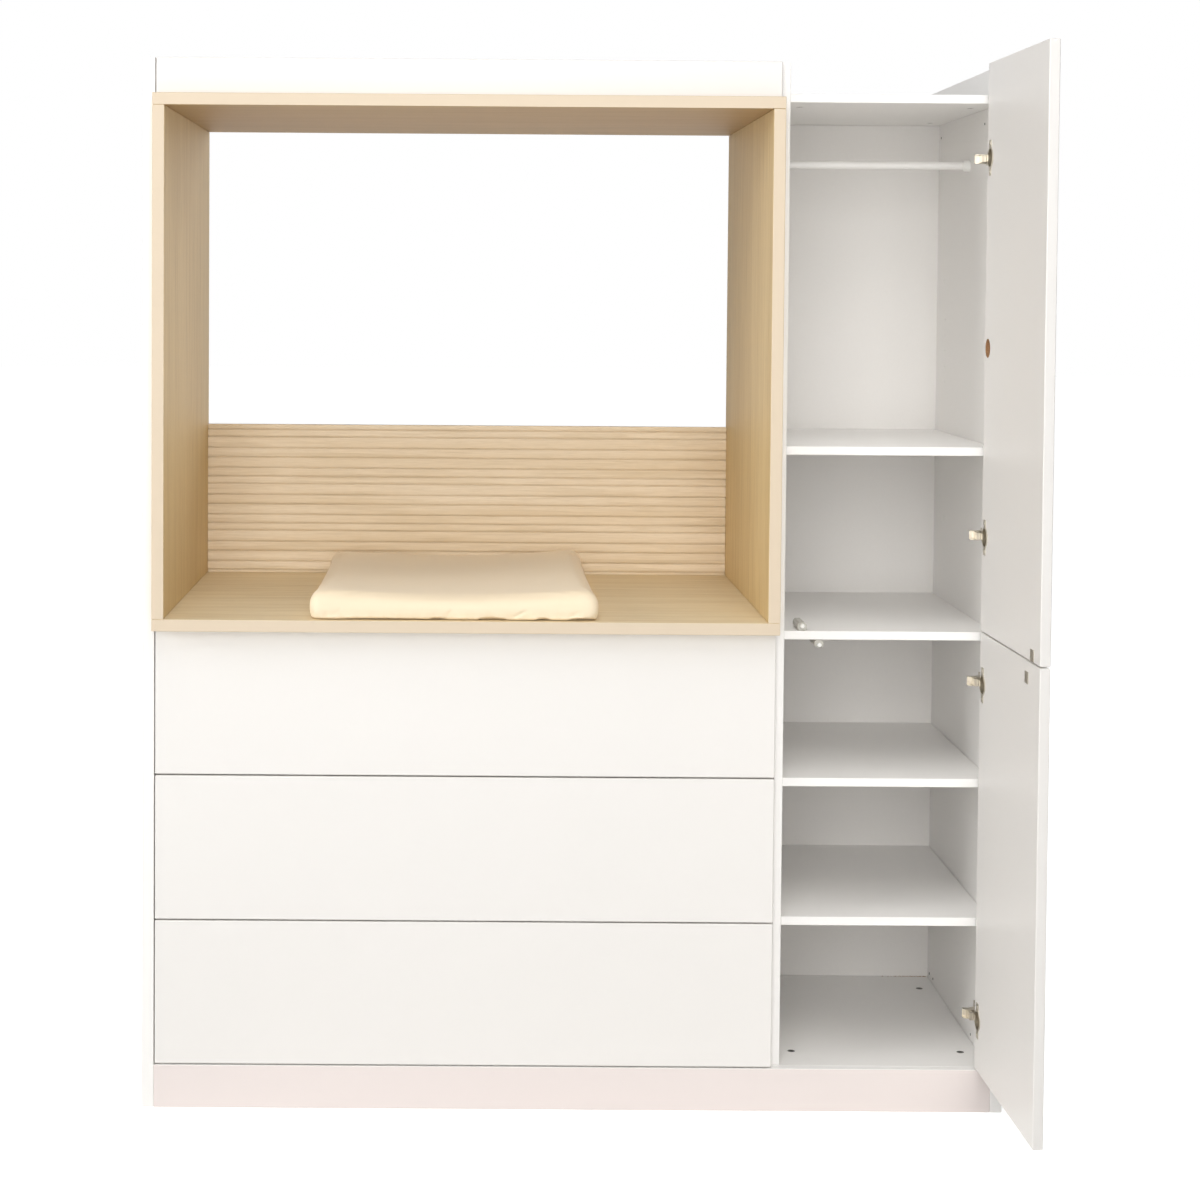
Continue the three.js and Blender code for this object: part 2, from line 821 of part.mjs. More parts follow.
// The runner on the cabinet's wall, as a channel seen from the front. The foot carries the roller,
// and the lip over the drawer's own roller keeps the drawer from tipping.
// reach is the distance from the wall into the bay, and side is 1 on the left wall, -1 on the right.
function fixed_runner(wall, side, base) {
  const at = ([reach, height]) => [wall + side * (seat_gap + reach), base + height];
  const channel = outline(
    [
      [0, 0],
      [runner_foot, 0],
      [runner_foot, runner_sheet],
      [runner_sheet, runner_sheet],
      [runner_sheet, runner_height - runner_sheet],
      [runner_top_flange - runner_sheet, runner_height - runner_sheet],
      [runner_top_flange - runner_sheet, runner_height - runner_lip],
      [runner_top_flange, runner_height - runner_lip],
      [runner_top_flange, runner_height],
      [0, runner_height],
    ].map(at),
  );
  const front = y_front + runner_setback;
  const body = solid(along_y(channel, front, front + runner_length));
  const roller_length = runner_foot - runner_sheet / 2;
  const roller = cylinder_along_x(front_roller_radius, roller_length, 20).translate(
    wall + side * (seat_gap + runner_sheet / 2 + roller_length / 2),
    front + roller_inset,
    base + rib_height - roller_gap - front_roller_radius,
  );
  return shape_of(body.add(solid(roller)));
}

// A drawer side with its half of the runner: a foot under the board, a web up its outer face, the
// rib that rides on the cabinet's roller, and the roller at its rear end
function drawer_side(wall, side, base) {
  const outer = drawer_side_clearance;
  const inner = outer + drawer_side_thickness;
  const web = outer - runner_sheet;
  const bottom = runner_drop;
  const groove = bottom + bottom_groove_rise;
  const groove_height = drawer_bottom_thickness + groove_clearance;
  const at = ([reach, height]) => [wall + side * reach, base + height];
  const section = outline(
    [
      [web, bottom - runner_sheet],
      [outer + rib_foot, bottom - runner_sheet],
      [outer + rib_foot, bottom],
      [inner, bottom],
      [inner, groove],
      [inner - bottom_groove_depth, groove],
      [inner - bottom_groove_depth, groove + groove_height],
      [inner, groove + groove_height],
      [inner, bottom + drawer_box_height],
      [outer, bottom + drawer_box_height],
      [outer, bottom + rib_web_height],
      [web, bottom + rib_web_height],
      [web, rib_height + runner_sheet],
      [outer - rib_reach, rib_height + runner_sheet],
      [outer - rib_reach, rib_height],
      [web, rib_height],
    ].map(at),
  );
  const front = y_front + front_thickness + seat_gap;
  const body = solid(along_y(section, front, front + drawer_box_depth));
  const roller_z = base + runner_height - runner_sheet - roller_gap - rear_roller_radius;
  const roller_y = front + drawer_box_depth - roller_inset;
  const roller_low = seat_gap + runner_sheet + roller_gap;
  const roller = cylinder_along_x(rear_roller_radius, rear_roller_width, 20).translate(
    wall + side * (roller_low + rear_roller_width / 2),
    roller_y,
    roller_z,
  );
  const axle_length = outer + overrun - roller_low - rear_roller_width / 2;
  const axle = cylinder_along_x(axle_radius, axle_length, 12).translate(
    wall + side * (outer + overrun - axle_length / 2),
    roller_y,
    roller_z,
  );
  return shape_of(body.add(solid(axle)).add(solid(roller)));
}

// A drawer's box behind its front, built in a group whose floor is the front's lower edge
function make_drawer(name, drawer) {
  const base = drawer_box_rise - runner_drop;
  const box_front = y_front + front_thickness + seat_gap;
  const box_rear = box_front + drawer_box_depth;
  const inner_low = x_left_wall + drawer_side_clearance + drawer_side_thickness;
  const inner_high = x_divider_left - drawer_side_clearance - drawer_side_thickness;
  const groove_floor = drawer_box_rise + bottom_groove_rise + groove_clearance / 2;
  const groove_reach = bottom_groove_depth - groove_clearance;
  const bottom_top = groove_floor + drawer_bottom_thickness;

  const front = board(
    [x_left_wall + front_side_gap, y_front, 0],
    [x_divider_left - front_side_gap, y_front + front_thickness, drawer_front_height],
    front_ease,
  );
  const back = board(
    [inner_low + seat_gap, box_rear - drawer_back_thickness, bottom_top + seat_gap],
    [inner_high - seat_gap, box_rear, drawer_box_rise + drawer_box_height],
  );
  const bottom = board(
    [inner_low - groove_reach, box_front, groove_floor],
    [inner_high + groove_reach, box_rear, bottom_top],
  );
  place(name + "_front", front, white, drawer);
  place(name + "_left_side", drawer_side(x_left_wall, 1, base), hardboard, drawer);
  place(name + "_right_side", drawer_side(x_divider_left, -1, base), hardboard, drawer);
  place(name + "_back", back, hardboard, drawer);
  place(name + "_bottom", bottom, hardboard, drawer);
}

function make_drawers() {
  for (let index = 0; index < drawer_count; index += 1) {
    const front_bottom = plinth_height + front_gap + index * (drawer_front_height + front_gap);
    const name = "drawer_" + (index + 1);
    const drawer = new THREE.Group();
    drawer.position.z = front_bottom;
    dresser.add(drawer);
    make_drawer(name, drawer);

    const runner_base = front_bottom + drawer_box_rise - runner_drop;
    place(name + "_left_runner", fixed_runner(x_left_wall, 1, runner_base), coated_steel);
    place(name + "_right_runner", fixed_runner(x_divider_left, -1, runner_base), coated_steel);
  }
}

// A rounded rectangle's points in turn, with even steps along its sides
function pad_ring(half_width, half_length) {
  const corners = [
    [1, 1],
    [-1, 1],
    [-1, -1],
    [1, -1],
  ];
  const radius = pad_corner_radius;
  const on_arc = (corner, step) => {
    const [across, along] = corners[corner % corners.length];
    const turn = ((corner + step / pad_corner_steps) * Math.PI) / 2;
    return [
      across * (half_width - radius) + radius * Math.cos(turn),
      along * (half_length - radius) + radius * Math.sin(turn),
    ];
  };
  return corners.flatMap((_, corner) => {
    const arc = Array.from({ length: pad_corner_steps + 1 }, (_, step) => on_arc(corner, step));
    const [from, to] = [arc.at(-1), on_arc(corner + 1, 0)];
    const side = Array.from({ length: pad_side_steps - 1 }, (_, step) => {
      const share = (step + 1) / pad_side_steps;
      return [from[0] + (to[0] - from[0]) * share, from[1] + (to[1] - from[1]) * share];
    });
    return [...arc, ...side];
  });
}

// The changing pad is a closed skin of rings. Each ring is drawn in between its corners, and the top
// is a trough: low along the middle, with a ridge down each long side.
function pad_geometry() {
  const half_width = pad_width / 2;
  const half_length = pad_length / 2;
  const rings = pad_ring_shares;
  const height_at = (x) => pad_middle_height + pad_ridge_rise * (Math.abs(x) / half_width) ** 2;
  const vertices = [];
  const triangles = [];
  for (const ring of rings) {
    const inset = ring.inset_share * half_width;
    const a = half_width - inset;
    const b = half_length - inset;
    for (const [ring_x, ring_y] of pad_ring(a, b)) {
      const across = ring_x / a;
      const along = ring_y / b;
      const x = across * (a - pad_waist * (1 - along ** 2));
      const y = along * (b - pad_waist * (1 - across ** 2));
      vertices.push(x, y, height_at(x) * ring.height_share);
    }
  }
  const bottom_centre = vertices.length / 3;
  vertices.push(0, 0, 0, 0, 0, height_at(0));
  const around = bottom_centre / rings.length;
  const last = (rings.length - 1) * around;
  for (let step = 0; step < around; step += 1) {
    const next = (step + 1) % around;
    for (let ring = 0; ring < rings.length - 1; ring += 1) {
      const low = ring * around;
      const high = low + around;
      triangles.push(low + step, low + next, high + next, low + step, high + next, high + step);
    }
    triangles.push(bottom_centre, next, step, bottom_centre + 1, last + step, last + next);
  }
  const geometry = new THREE.BufferGeometry();
  geometry.setAttribute("position", new THREE.Float32BufferAttribute(vertices, 3));
  geometry.setIndex(triangles);
  geometry.computeVertexNormals();
  return geometry;
}

function make_pad() {
  const pad = place("changing_pad", pad_geometry(), cotton);
  pad.position.set(
    pad_offset,
    y_niche_front + pad_front_setback + pad_length / 2,
    niche_floor_top + pad_gap,
  );
}

make_upright_panels();
make_base();
make_backs_and_top();
make_niche();
make_shelves();
make_rail();
make_latches();
make_doors();
make_drawers();
make_pad();

export default dresser;
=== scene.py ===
import json
import math

import bmesh
import bpy
import numpy as np
from bpy.props import FloatProperty, FloatVectorProperty, IntProperty, PointerProperty
from mathutils import Matrix, Vector


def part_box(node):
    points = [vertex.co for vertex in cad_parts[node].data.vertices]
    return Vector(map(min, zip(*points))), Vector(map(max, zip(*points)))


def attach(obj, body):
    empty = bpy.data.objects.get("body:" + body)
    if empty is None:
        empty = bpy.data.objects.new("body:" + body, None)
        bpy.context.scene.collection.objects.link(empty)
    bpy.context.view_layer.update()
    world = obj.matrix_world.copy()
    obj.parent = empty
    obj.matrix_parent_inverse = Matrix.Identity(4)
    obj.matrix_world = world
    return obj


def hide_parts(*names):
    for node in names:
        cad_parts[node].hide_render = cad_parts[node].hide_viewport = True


bl_info = {
    "name": "Changing dresser",
    "version": (1, 0, 0),
    "blender": (4, 5, 0),
    "location": "3D View > Sidebar > Dresser",
    "description": "Finishes, fittings and a changing pad for a dresser with a wardrobe bay",
    "category": "Object",
}

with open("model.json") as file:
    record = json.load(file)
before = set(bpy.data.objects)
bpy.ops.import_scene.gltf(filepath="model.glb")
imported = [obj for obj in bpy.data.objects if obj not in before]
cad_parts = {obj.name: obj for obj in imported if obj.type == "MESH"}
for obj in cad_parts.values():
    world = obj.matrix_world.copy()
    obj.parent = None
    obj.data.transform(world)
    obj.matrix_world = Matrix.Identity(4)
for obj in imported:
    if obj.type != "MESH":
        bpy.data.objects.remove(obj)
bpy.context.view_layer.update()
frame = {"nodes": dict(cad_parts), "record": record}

MM = 0.001


def linear(colour):
    """Turns an sRGB hex colour to linear red, green and blue."""
    parts = [int(colour[i : i + 2], 16) / 255 for i in (1, 3, 5)]
    return tuple(p / 12.92 if p <= 0.04045 else ((p + 0.055) / 1.055) ** 2.4 for p in parts)


def length_property(name, description, default):
    """A size in metres that a user may change."""
    return FloatProperty(
        name=name, description=description, default=default, min=0.0, unit="LENGTH", precision=5
    )


def power_property(name, place, default):
    """A lamp's power in watts that a user may change."""
    return FloatProperty(
        name=name, description="Power of the lamp " + place, default=default, unit="POWER"
    )


def colour_property(name, description, colour):
    """A colour that a user may change, given as sRGB hex."""
    return FloatVectorProperty(
        name=name,
        description=description,
        default=linear(colour),
        subtype="COLOR",
        size=3,
        min=0,
        max=1,
    )


# Sizes and colours


class DresserStage(bpy.types.PropertyGroup):
    front_power: power_property("Front lamp", "in front", 118.0)
    left_power: power_property("Left lamp", "on the left", 142.0)
    high_power: power_property("High lamp", "high in front", 26.0)
    overhead_power: power_property("Overhead lamp", "overhead", 74.0)
    rear_power: power_property("Rear lamp", "behind", 70.0)
    room_light: FloatProperty(
        name="Room light", description="Strength of the light from all round", default=0.02
    )
    floor_radius: length_property("Floor radius", "How far the floor reaches", 40.0)
    floor_glow: FloatProperty(
        name="Floor glow", description="Light that only the camera sees on the floor", default=0.7
    )
    floor_colour: colour_property("Floor", "Pale studio floor", "#E6E5E3")


class DresserFinishes(bpy.types.PropertyGroup):
    white_board: colour_property("White board", "Melamine on the carcass and shelves", "#F7F5F2")
    white_front: colour_property("White front", "Melamine on fronts and doors", "#ECE9E5")
    # Painted shade: the plinth is darker and pinker than the other whites, for the shade at the
    # foot of the dresser.
    plinth: colour_property("Plinth", "Melamine on the plinth, darkened by painted shade", "#E9DFDB")
    oak_light: colour_property("Oak, light", "Between the growth rings", "#F4E4CB")
    oak_middle: colour_property("Oak, middle", "Broad bands of the decor", "#EBD8BA")
    oak_dark: colour_property("Oak, dark", "Fibres and growth rings", "#CDB792")
    oak_band: colour_property("Oak, edge band", "Edge strips of the niche's boards", "#D9C8B0")
    # Painted shade: the tints below darken and brown one oak decor where less light reaches it.
    # They act most on the niche's ceiling, then its walls, and faintly on its floor; the slats'
    # tint is white.
    slat_painted_shade: colour_property("Slats' tint", "Multiplies the oak's colours", "#FFFFFF")
    floor_painted_shade: colour_property("Niche floor's tint", "Multiplies the oak's colours", "#F9F8EC")
    wall_painted_shade: colour_property("Niche walls' tint", "Multiplies the oak's colours", "#E9DEBC")
    ceiling_painted_shade: colour_property("Niche ceiling's tint", "Multiplies the oak's colours", "#C2AD84")
    hardboard: colour_property("Hardboard", "Painted face of the thin backs", "#EDEAE6")
    drawer_board: colour_property("Drawer board", "Foil on the drawer boxes", "#ECEAE6")
    coated_steel: colour_property("Coated steel", "Powder coat of rail and runners", "#F2F0EC")
    nickel: colour_property("Nickel", "Plated hinges and plates", "#C9C2B4")
    zinc: colour_property("Zinc", "Die-cast cam fittings", "#75726D")
    grey_plastic: colour_property("Grey plastic", "Latch housings", "#BDBAB1")
    white_plastic: colour_property("White plastic", "Latch plungers and rail sockets", "#F7F6F2")
    jersey: colour_property("Jersey", "Cover of the changing pad", "#FBEBD0")
    jersey_shade: colour_property("Jersey, shade", "Between the jersey's wales", "#E8D5AE")
    chipboard: colour_property("Chipboard", "Raw core of the boards", "#B48A62")


class DresserSlats(bpy.types.PropertyGroup):
    pitch: length_property("Pitch", "Height of one set of five slats", 100.2 * MM)
    first: length_property("First slat", "From the top edge to the first groove", 11 * MM)
    groove_width: length_property("Groove width", "Width of a milled groove", 2.6 * MM)
    groove_depth: length_property("Groove depth", "Depth of a milled groove", 4 * MM)
    lip: length_property("Lip", "Rounding of the grooves' lips", 0.8 * MM)


class DresserFittings(bpy.types.PropertyGroup):
    screw_radius: length_property("Screw head", "Radius of a screw's head", 3.2 * MM)
    screw_height: length_property("Screw height", "How proud a screw's head stands", 1.5 * MM)
    cam_radius: length_property("Cam radius", "Radius of a cam fitting", 7.3 * MM)
    cam_height: length_property("Cam height", "Height of a cam fitting", 12 * MM)
    pin_radius: length_property("Pin radius", "Radius of a shelf pin", 2.4 * MM)
    pin_length: length_property("Pin length", "How far a shelf pin stands out", 7 * MM)
    chip_length: length_property("Chip length", "Length of a splinter of the core", 4 * MM)
    seed: IntProperty(name="Seed", description="Turns each screw's cross differently", default=7)


class DresserPad(bpy.types.PropertyGroup):
    middle: length_property("Middle height", "Height along the trough", 43.5 * MM)
    left_rise_front: length_property("Left ridge, front", "Rise over the trough", 12.5 * MM)
    left_rise_rear: length_property("Left ridge, rear", "Rise over the trough", 6 * MM)
    right_rise_front: length_property("Right ridge, front", "Rise over the trough", 13.5 * MM)
    right_rise_rear: length_property("Right ridge, rear", "Rise over the trough", 15.5 * MM)
    corner: length_property("Corner radius", "Radius of the corners in plan", 22 * MM)
    waist: length_property("Waist", "How far the sides are drawn in between corners", 4 * MM)
    shrink: length_property("Start inset", "How much smaller the pad is before it swells", 2.5 * MM)
    voxel: length_property("Mesh size", "Edge length of the mesh before smoothing", 6 * MM)
    swell: length_property("Swell", "The most that a point may move in the simulation", 4 * MM)
    pressure: FloatProperty(
        name="Pressure", description="Push of the foam on the cover", default=2.5
    )
    frames: IntProperty(name="Frames", description="Length of the simulation", default=20)
    hem: length_property("Hem", "Height of the gathered hem", 20 * MM)
    pucker: length_property("Pucker", "Depth of the hem's gathers", 2.4 * MM)
    wale: length_property("Wale", "Pitch of the knit's ribs, coarser than the real 1 mm", 2 * MM)


# Nodes. A source is written as (node, output).


def socket_of(sockets, name):
    """Finds a socket by its identifier, or else by its name."""
    return next((s for s in sockets if s.identifier == name), None) or sockets[name]


def link(tree, source, node, name):
    """Joins a source to an input of a node."""
    tree.links.new(socket_of(source[0].outputs, source[1]), socket_of(node.inputs, name))


def add(tree, kind, settings):
    """Adds a node. A setting is a property, a socket's value, a source or a list of sources."""
    node = tree.nodes.new(kind)
    for name, value in settings.items():
        sources = value if isinstance(value, list) else [value]
        if isinstance(sources[0], tuple) and isinstance(sources[0][0], bpy.types.Node):
            for source in sources:
                link(tree, source, node, name)
        elif hasattr(node, name):
            setattr(node, name, value)
        else:
            socket_of(node.inputs, name).default_value = value
    return node


def out(tree, kind, output, **settings):
    """Adds a node and returns one of its outputs as a source."""
    return add(tree, kind, settings), output


def calculate(tree, operation, a, b):
    """Works on two numbers."""
    return out(tree, "ShaderNodeMath", "Value", operation=operation, Value=a, Value_001=b)


def combine(tree, x, y, z):
    """Makes a vector of three numbers."""
    return out(tree, "ShaderNodeCombineXYZ", "Vector", X=x, Y=y, Z=z)


def noise(tree, where, scale, **more):
    """Noise of a scale at a place."""
    return out(tree, "ShaderNodeTexNoise", "Fac", Vector=where, Scale=scale, **more)


def spread(tree, value, least, most, low=0.0, high=1.0):
    """Takes the range from low to high of a number to another range."""
    ends = {"From Min": low, "From Max": high, "To Min": least, "To Max": most}
    return out(tree, "ShaderNodeMapRange", "Result", Value=value, **ends)


def blend(tree, share, a, b, **more):
    """A colour that is a share of the way from one to another."""
    settings = {"data_type": "RGBA", **more, "Factor_Float": share, "A_Color": a, "B_Color": b}
    return out(tree, "ShaderNodeMix", "Result_Color", **settings)


def emboss(tree, shader, height, strength, depth):
    """Gives a shader a bump."""
    settings = {"Height": height, "Strength": strength, "Distance": depth}
    link(tree, out(tree, "ShaderNodeBump", "Normal", **settings), shader, "Normal")


def seen_directly(tree):
    """One for the rays that see white: the camera's, those of gloss and those through glass."""
    path = add(tree, "ShaderNodeLightPath", {})
    seen = calculate(tree, "MAXIMUM", (path, "Is Camera Ray"), (path, "Is Glossy Ray"))
    return calculate(tree, "MAXIMUM", seen, (path, "Is Transmission Ray"))


def empty_tree(owner):
    """The cleared node tree of a material or a world."""
    owner.use_nodes = True
    owner.node_tree.nodes.clear()
    return owner.node_tree


def new_material(name, settings):
    """A material with one principled shader. Returns it with its tree, its shader and the place on
    the object."""
    material = bpy.data.materials.new(name)
    tree = empty_tree(material)
    shader = add(tree, "ShaderNodeBsdfPrincipled", settings)
    add(tree, "ShaderNodeOutputMaterial", {"Surface": (shader, "BSDF")})
    return material, tree, shader, out(tree, "ShaderNodeTexCoord", "Object")


def material_named(name):
    """A finish that an earlier step made."""
    return bpy.data.materials[name]


def opaque(colour, factor=1.0):
    """A linear colour with an alpha, made darker by a factor."""
    return tuple(c * factor for c in colour) + (1.0,)


# Meshes and objects


def link_object(name, mesh):
    """Puts a mesh in the scene, at the origin."""
    thing = bpy.data.objects.new(name, mesh)
    bpy.context.scene.collection.objects.link(thing)
    return thing


def soften(mesh, degrees=35):
    """Shades a mesh smooth but for its sharp edges."""
    mesh.polygons.foreach_set("use_smooth", [True] * len(mesh.polygons))
    mesh.set_sharp_from_angle(angle=math.radians(degrees))
    mesh.update()


def plain_mesh(thing):
    """Takes what an object's modifiers make of it as a plain mesh, and drops the modifiers."""
    graph = bpy.context.evaluated_depsgraph_get()
    mesh = bpy.data.meshes.new_from_object(thing.evaluated_get(graph))
    thing.modifiers.clear()
    return mesh


def axes_along(direction, at):
    """A matrix that takes +Z to a direction and the origin to a point."""
    turn = Vector(direction).to_track_quat("Z", "Y").to_matrix().to_4x4()
    return Matrix.Translation(Vector(at)) @ turn


def lathe(name, profile, at, direction, steps=48):
    """Turns a profile of (radius, height) about an axis. It is closed where its radius is zero."""
    work = bmesh.new()
    rings = []
    for radius, height in profile:
        if radius == 0:
            rings.append([work.verts.new((0, 0, height))])
        else:
            turns = [2 * math.pi * k / steps for k in range(steps)]
            ring = [(radius * math.cos(t), radius * math.sin(t), height) for t in turns]
            rings.append([work.verts.new(point) for point in ring])
    for low, high in zip(rings, rings[1:]):
        for k in range(steps):
            n = (k + 1) % steps
            # A ring of one point gives triangles
            corners = [(low, k), (low, n), (high, n), (high, k)]
            face = list(dict.fromkeys(ring[i % len(ring)] for ring, i in corners))
            if len(face) > 2:
                work.faces.new(face)
    bmesh.ops.transform(work, matrix=axes_along(direction, at), verts=work.verts)
    bmesh.ops.recalc_face_normals(work, faces=work.faces)
    mesh = bpy.data.meshes.new(name)
    work.to_mesh(mesh)
    work.free()
    soften(mesh)
    return link_object(name, mesh)


def dress(thing, material, body):
    """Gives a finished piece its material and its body."""
    thing.data.materials.clear()
    thing.data.materials.append(material)
    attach(thing, body)
    return thing


def paint(names, material):
    """Gives carried-over nodes a material in their own slots."""
    for name in names:
        thing = frame["nodes"][name]
        if not thing.material_slots:
            thing.data.materials.append(material)
        for slot in thing.material_slots:
            slot.material = material


def in_slot(slot):
    """The nodes whose record names this material slot."""
    return [p["node"] for p in frame["record"]["subparts"] if p.get("material_slot") == slot]


# Places in the wardrobe, in millimetres. The doors hang open on the right side panel.

left_wall_x, right_wall_x = 389, 780
fitting_depths = (91, 478)
door_angle = math.radians(91)
door_pivot = Vector((769, -9, 0)) * MM
door_turn = Matrix.Rotation(door_angle, 3, "Z")
door_inward = door_turn @ Vector((0, 1, 0))
cup_x = -14.5
hinge_heights = {"upper_door": (1775, 1077.5), "lower_door": (804.5, 178)}
strike_places = {"upper_door": (-346, 913.7), "lower_door": (-314, 871)}


def on_door(x, y, z):
    """A point of the shut door's frame, in millimetres from its pivot, as it stands open."""
    return door_pivot + door_turn @ (Vector((x, y, z)) * MM)


# Materials


def edge_band(tree, where, axis, operation, level, tone, colour):
    """Gives the faces beyond a level the even colour of an ironed-on edge strip."""
    parts = add(tree, "ShaderNodeSeparateXYZ", {"Vector": where})
    return blend(tree, calculate(tree, operation, (parts, axis), level), tone, opaque(colour))


def melamine(name, colour, roughness, band=None):
    """Melamine-faced chipboard: paper and resin pressed on a satin steel plate, so it is a hard
    even white with a soft sheen and the faintest peel. A band is a height and the colour above."""
    material, tree, shader, where = new_material(name, {"Roughness": roughness, "IOR": 1.5})
    cloud = noise(tree, where, 5.0, Detail=3.0, Roughness=0.55)
    tone = blend(tree, cloud, opaque(colour, 0.985), opaque(colour))
    if band:
        tone = edge_band(tree, where, "Z", "GREATER_THAN", band[0], tone, band[1])
    link(tree, tone, shader, "Base Color")
    # The pressed plate's real grain is about 0.3 mm. It is drawn at 2.5 mm so that it shows.
    emboss(tree, shader, noise(tree, where, 400.0, Detail=2.0), 0.12, 0.05 * MM)
    link(tree, spread(tree, cloud, roughness - 0.04, roughness + 0.04), shader, "Roughness")
    return material


def oak_decor(name, grain, finishes, painted_shade):
    """Light oak decor: a printed, embossed paper on chipboard. Straight fibres run the length of
    the board with broad pale bands, a few long growth rings and short dark pores, all matt. The
    boards' front edges have a strip of an even colour."""
    material, tree, shader, where = new_material(name, {"Roughness": 0.55, "IOR": 1.48})
    stretch = {"X": (0.045, 1, 1), "Z": (1, 1, 0.045)}[grain]
    along = out(tree, "ShaderNodeMapping", "Vector", Vector=where, Scale=stretch)
    # Bands are about 40 mm across the grain, rings 12 mm, fibres 2 mm and pores 1 mm.
    bands = noise(tree, along, 24.0, Detail=2.0, Distortion=0.4)
    rings = noise(tree, along, 85.0, Detail=3.0, Distortion=0.8)
    fibres = noise(tree, along, 480.0, Detail=2.0, Roughness=0.7)
    pores = noise(tree, along, 950.0, Detail=1.0)
    tone = opaque(finishes.oak_light)
    for texture, low, high, most, colour in (
        (bands, 0.35, 0.65, 0.8, finishes.oak_middle),
        (rings, 0.48, 0.72, 0.42, finishes.oak_dark),
        (fibres, 0.4, 0.75, 0.3, finishes.oak_dark),
        (pores, 0.62, 0.74, 0.2, finishes.oak_dark),
    ):
        tone = blend(tree, spread(tree, texture, 0.0, most, low, high), tone, opaque(colour))
    # Painted shade: the board's tint darkens and browns the decor, most on the niche's ceiling and
    # walls. The edge strip below is left out of it.
    tone = blend(tree, 1.0, tone, opaque(painted_shade), blend_type="MULTIPLY")
    front_edge = -48.5 * MM
    tone = edge_band(tree, where, "Y", "LESS_THAN", front_edge, tone, finishes.oak_band)
    link(tree, tone, shader, "Base Color")
    emboss(tree, shader, fibres, 0.25, 0.15 * MM)
    return material


def speckled(name, colour, roughness, scale, depth, height):
    """Paint, foil, powder coat or moulded plastic: an even colour with a faint fine speckle."""
    material, tree, shader, where = new_material(name, {"Roughness": roughness, "IOR": 1.48})
    grains = noise(tree, where, scale, Detail=4.0)
    tone = blend(tree, grains, opaque(colour, 1 - depth), opaque(colour))
    link(tree, tone, shader, "Base Color")
    emboss(tree, shader, grains, 0.3, height)
    return material


def metal(name, colour):
    """Nickel plate on pressed steel, or bare zinc: grey metal, bright where it is turned, with the
    drawing marks of the press left in it."""
    settings = {"Base Color": opaque(colour), "Metallic": 1.0, "Roughness": 0.3}
    material, tree, shader, where = new_material(name, settings)
    marks = out(tree, "ShaderNodeMapping", "Vector", Vector=where, Scale=(1.0, 1.0, 0.12))
    lines = noise(tree, marks, 1400.0, Detail=3.0, Roughness=0.6)
    link(tree, spread(tree, lines, 0.2, 0.42), shader, "Roughness")
    emboss(tree, shader, lines, 0.1, 0.05 * MM)
    return material


def jersey(name, finishes, wale):
    """Cotton single jersey: fine ribs of knit stitches over foam, matt with a soft bloom at the
    edges, paler on the ribs than between them."""
    settings = {"Roughness": 0.9, "IOR": 1.45, "Sheen Weight": 0.25, "Sheen Roughness": 0.5}
    material, tree, shader, where = new_material(name, settings)
    # Length of a wave at scale 1, in metres
    wave_length = 0.314
    waves = []
    for direction, pitch, distortion, detail_scale in (
        ("X", wale, 1.2, 3.0),
        ("DIAGONAL", wale * 1.3, 2.0, 1.0),
    ):
        settings = {
            "bands_direction": direction,
            "Vector": where,
            "Scale": wave_length / pitch,
            "Distortion": distortion,
            "Detail": 1.0,
            "Detail Scale": detail_scale,
        }
        waves.append(out(tree, "ShaderNodeTexWave", "Fac", **settings))
    ribs, courses = waves
    settings = {"data_type": "FLOAT", "Factor_Float": 0.35, "A_Float": ribs, "B_Float": courses}
    knit = out(tree, "ShaderNodeMix", "Result_Float", **settings)
    shade = calculate(tree, "MULTIPLY", knit, noise(tree, where, 14.0, Detail=3.0))
    tone = blend(tree, shade, opaque(finishes.jersey_shade), opaque(finishes.jersey))
    tone = blend(tree, 0.65, tone, opaque(finishes.jersey))
    link(tree, tone, shader, "Base Color")
    emboss(tree, shader, knit, 0.35, 0.3 * MM)
    return material


def raw_chipboard(name, colour):
    """Raw chipboard: wood chips and glue where a bore cuts the board, in browns that change from
    chip to chip."""
    material, tree, shader, where = new_material(name, {"Roughness": 0.85, "IOR": 1.45})
    chips = add(
        tree, "ShaderNodeTexVoronoi", {"Vector": where, "Scale": 650.0, "Randomness": 1.0}
    )
    tone = blend(tree, (chips, "Color"), opaque(colour, 0.55), opaque(colour, 1.15))
    link(tree, tone, shader, "Base Color")
    emboss(tree, shader, (chips, "Distance"), 0.5, 0.4 * MM)
    return material


# Geometry trees


def new_tree(name, inputs):
    """A geometry tree with a named input for each size and one for the finish."""
    tree = bpy.data.node_groups.new(name, "GeometryNodeTree")
    tree.interface.new_socket("Geometry", in_out="INPUT", socket_type="NodeSocketGeometry")
    tree.interface.new_socket("Geometry", in_out="OUTPUT", socket_type="NodeSocketGeometry")
    for label, kind in {**inputs, "Finish": "Material"}.items():
        tree.interface.new_socket(label, in_out="INPUT", socket_type="NodeSocket" + kind)
    return tree, add(tree, "NodeGroupInput", {})


def floats(*labels):
    """Number inputs for a tree."""
    return dict.fromkeys(labels, "Float")


def close_tree(tree, size, source):
    """Ends a tree in Realize Instances and Set Material."""
    real = out(tree, "GeometryNodeRealizeInstances", "Geometry", Geometry=source)
    settings = {"Geometry": real, "Material": (size, "Finish")}
    painted = out(tree, "GeometryNodeSetMaterial", "Geometry", **settings)
    add(tree, "NodeGroupOutput", {"Geometry": painted})
    return tree


def block(tree, x, y, z):
    """A block with its middle at the origin."""
    return out(tree, "GeometryNodeMeshCube", "Mesh", Size=combine(tree, x, y, z))


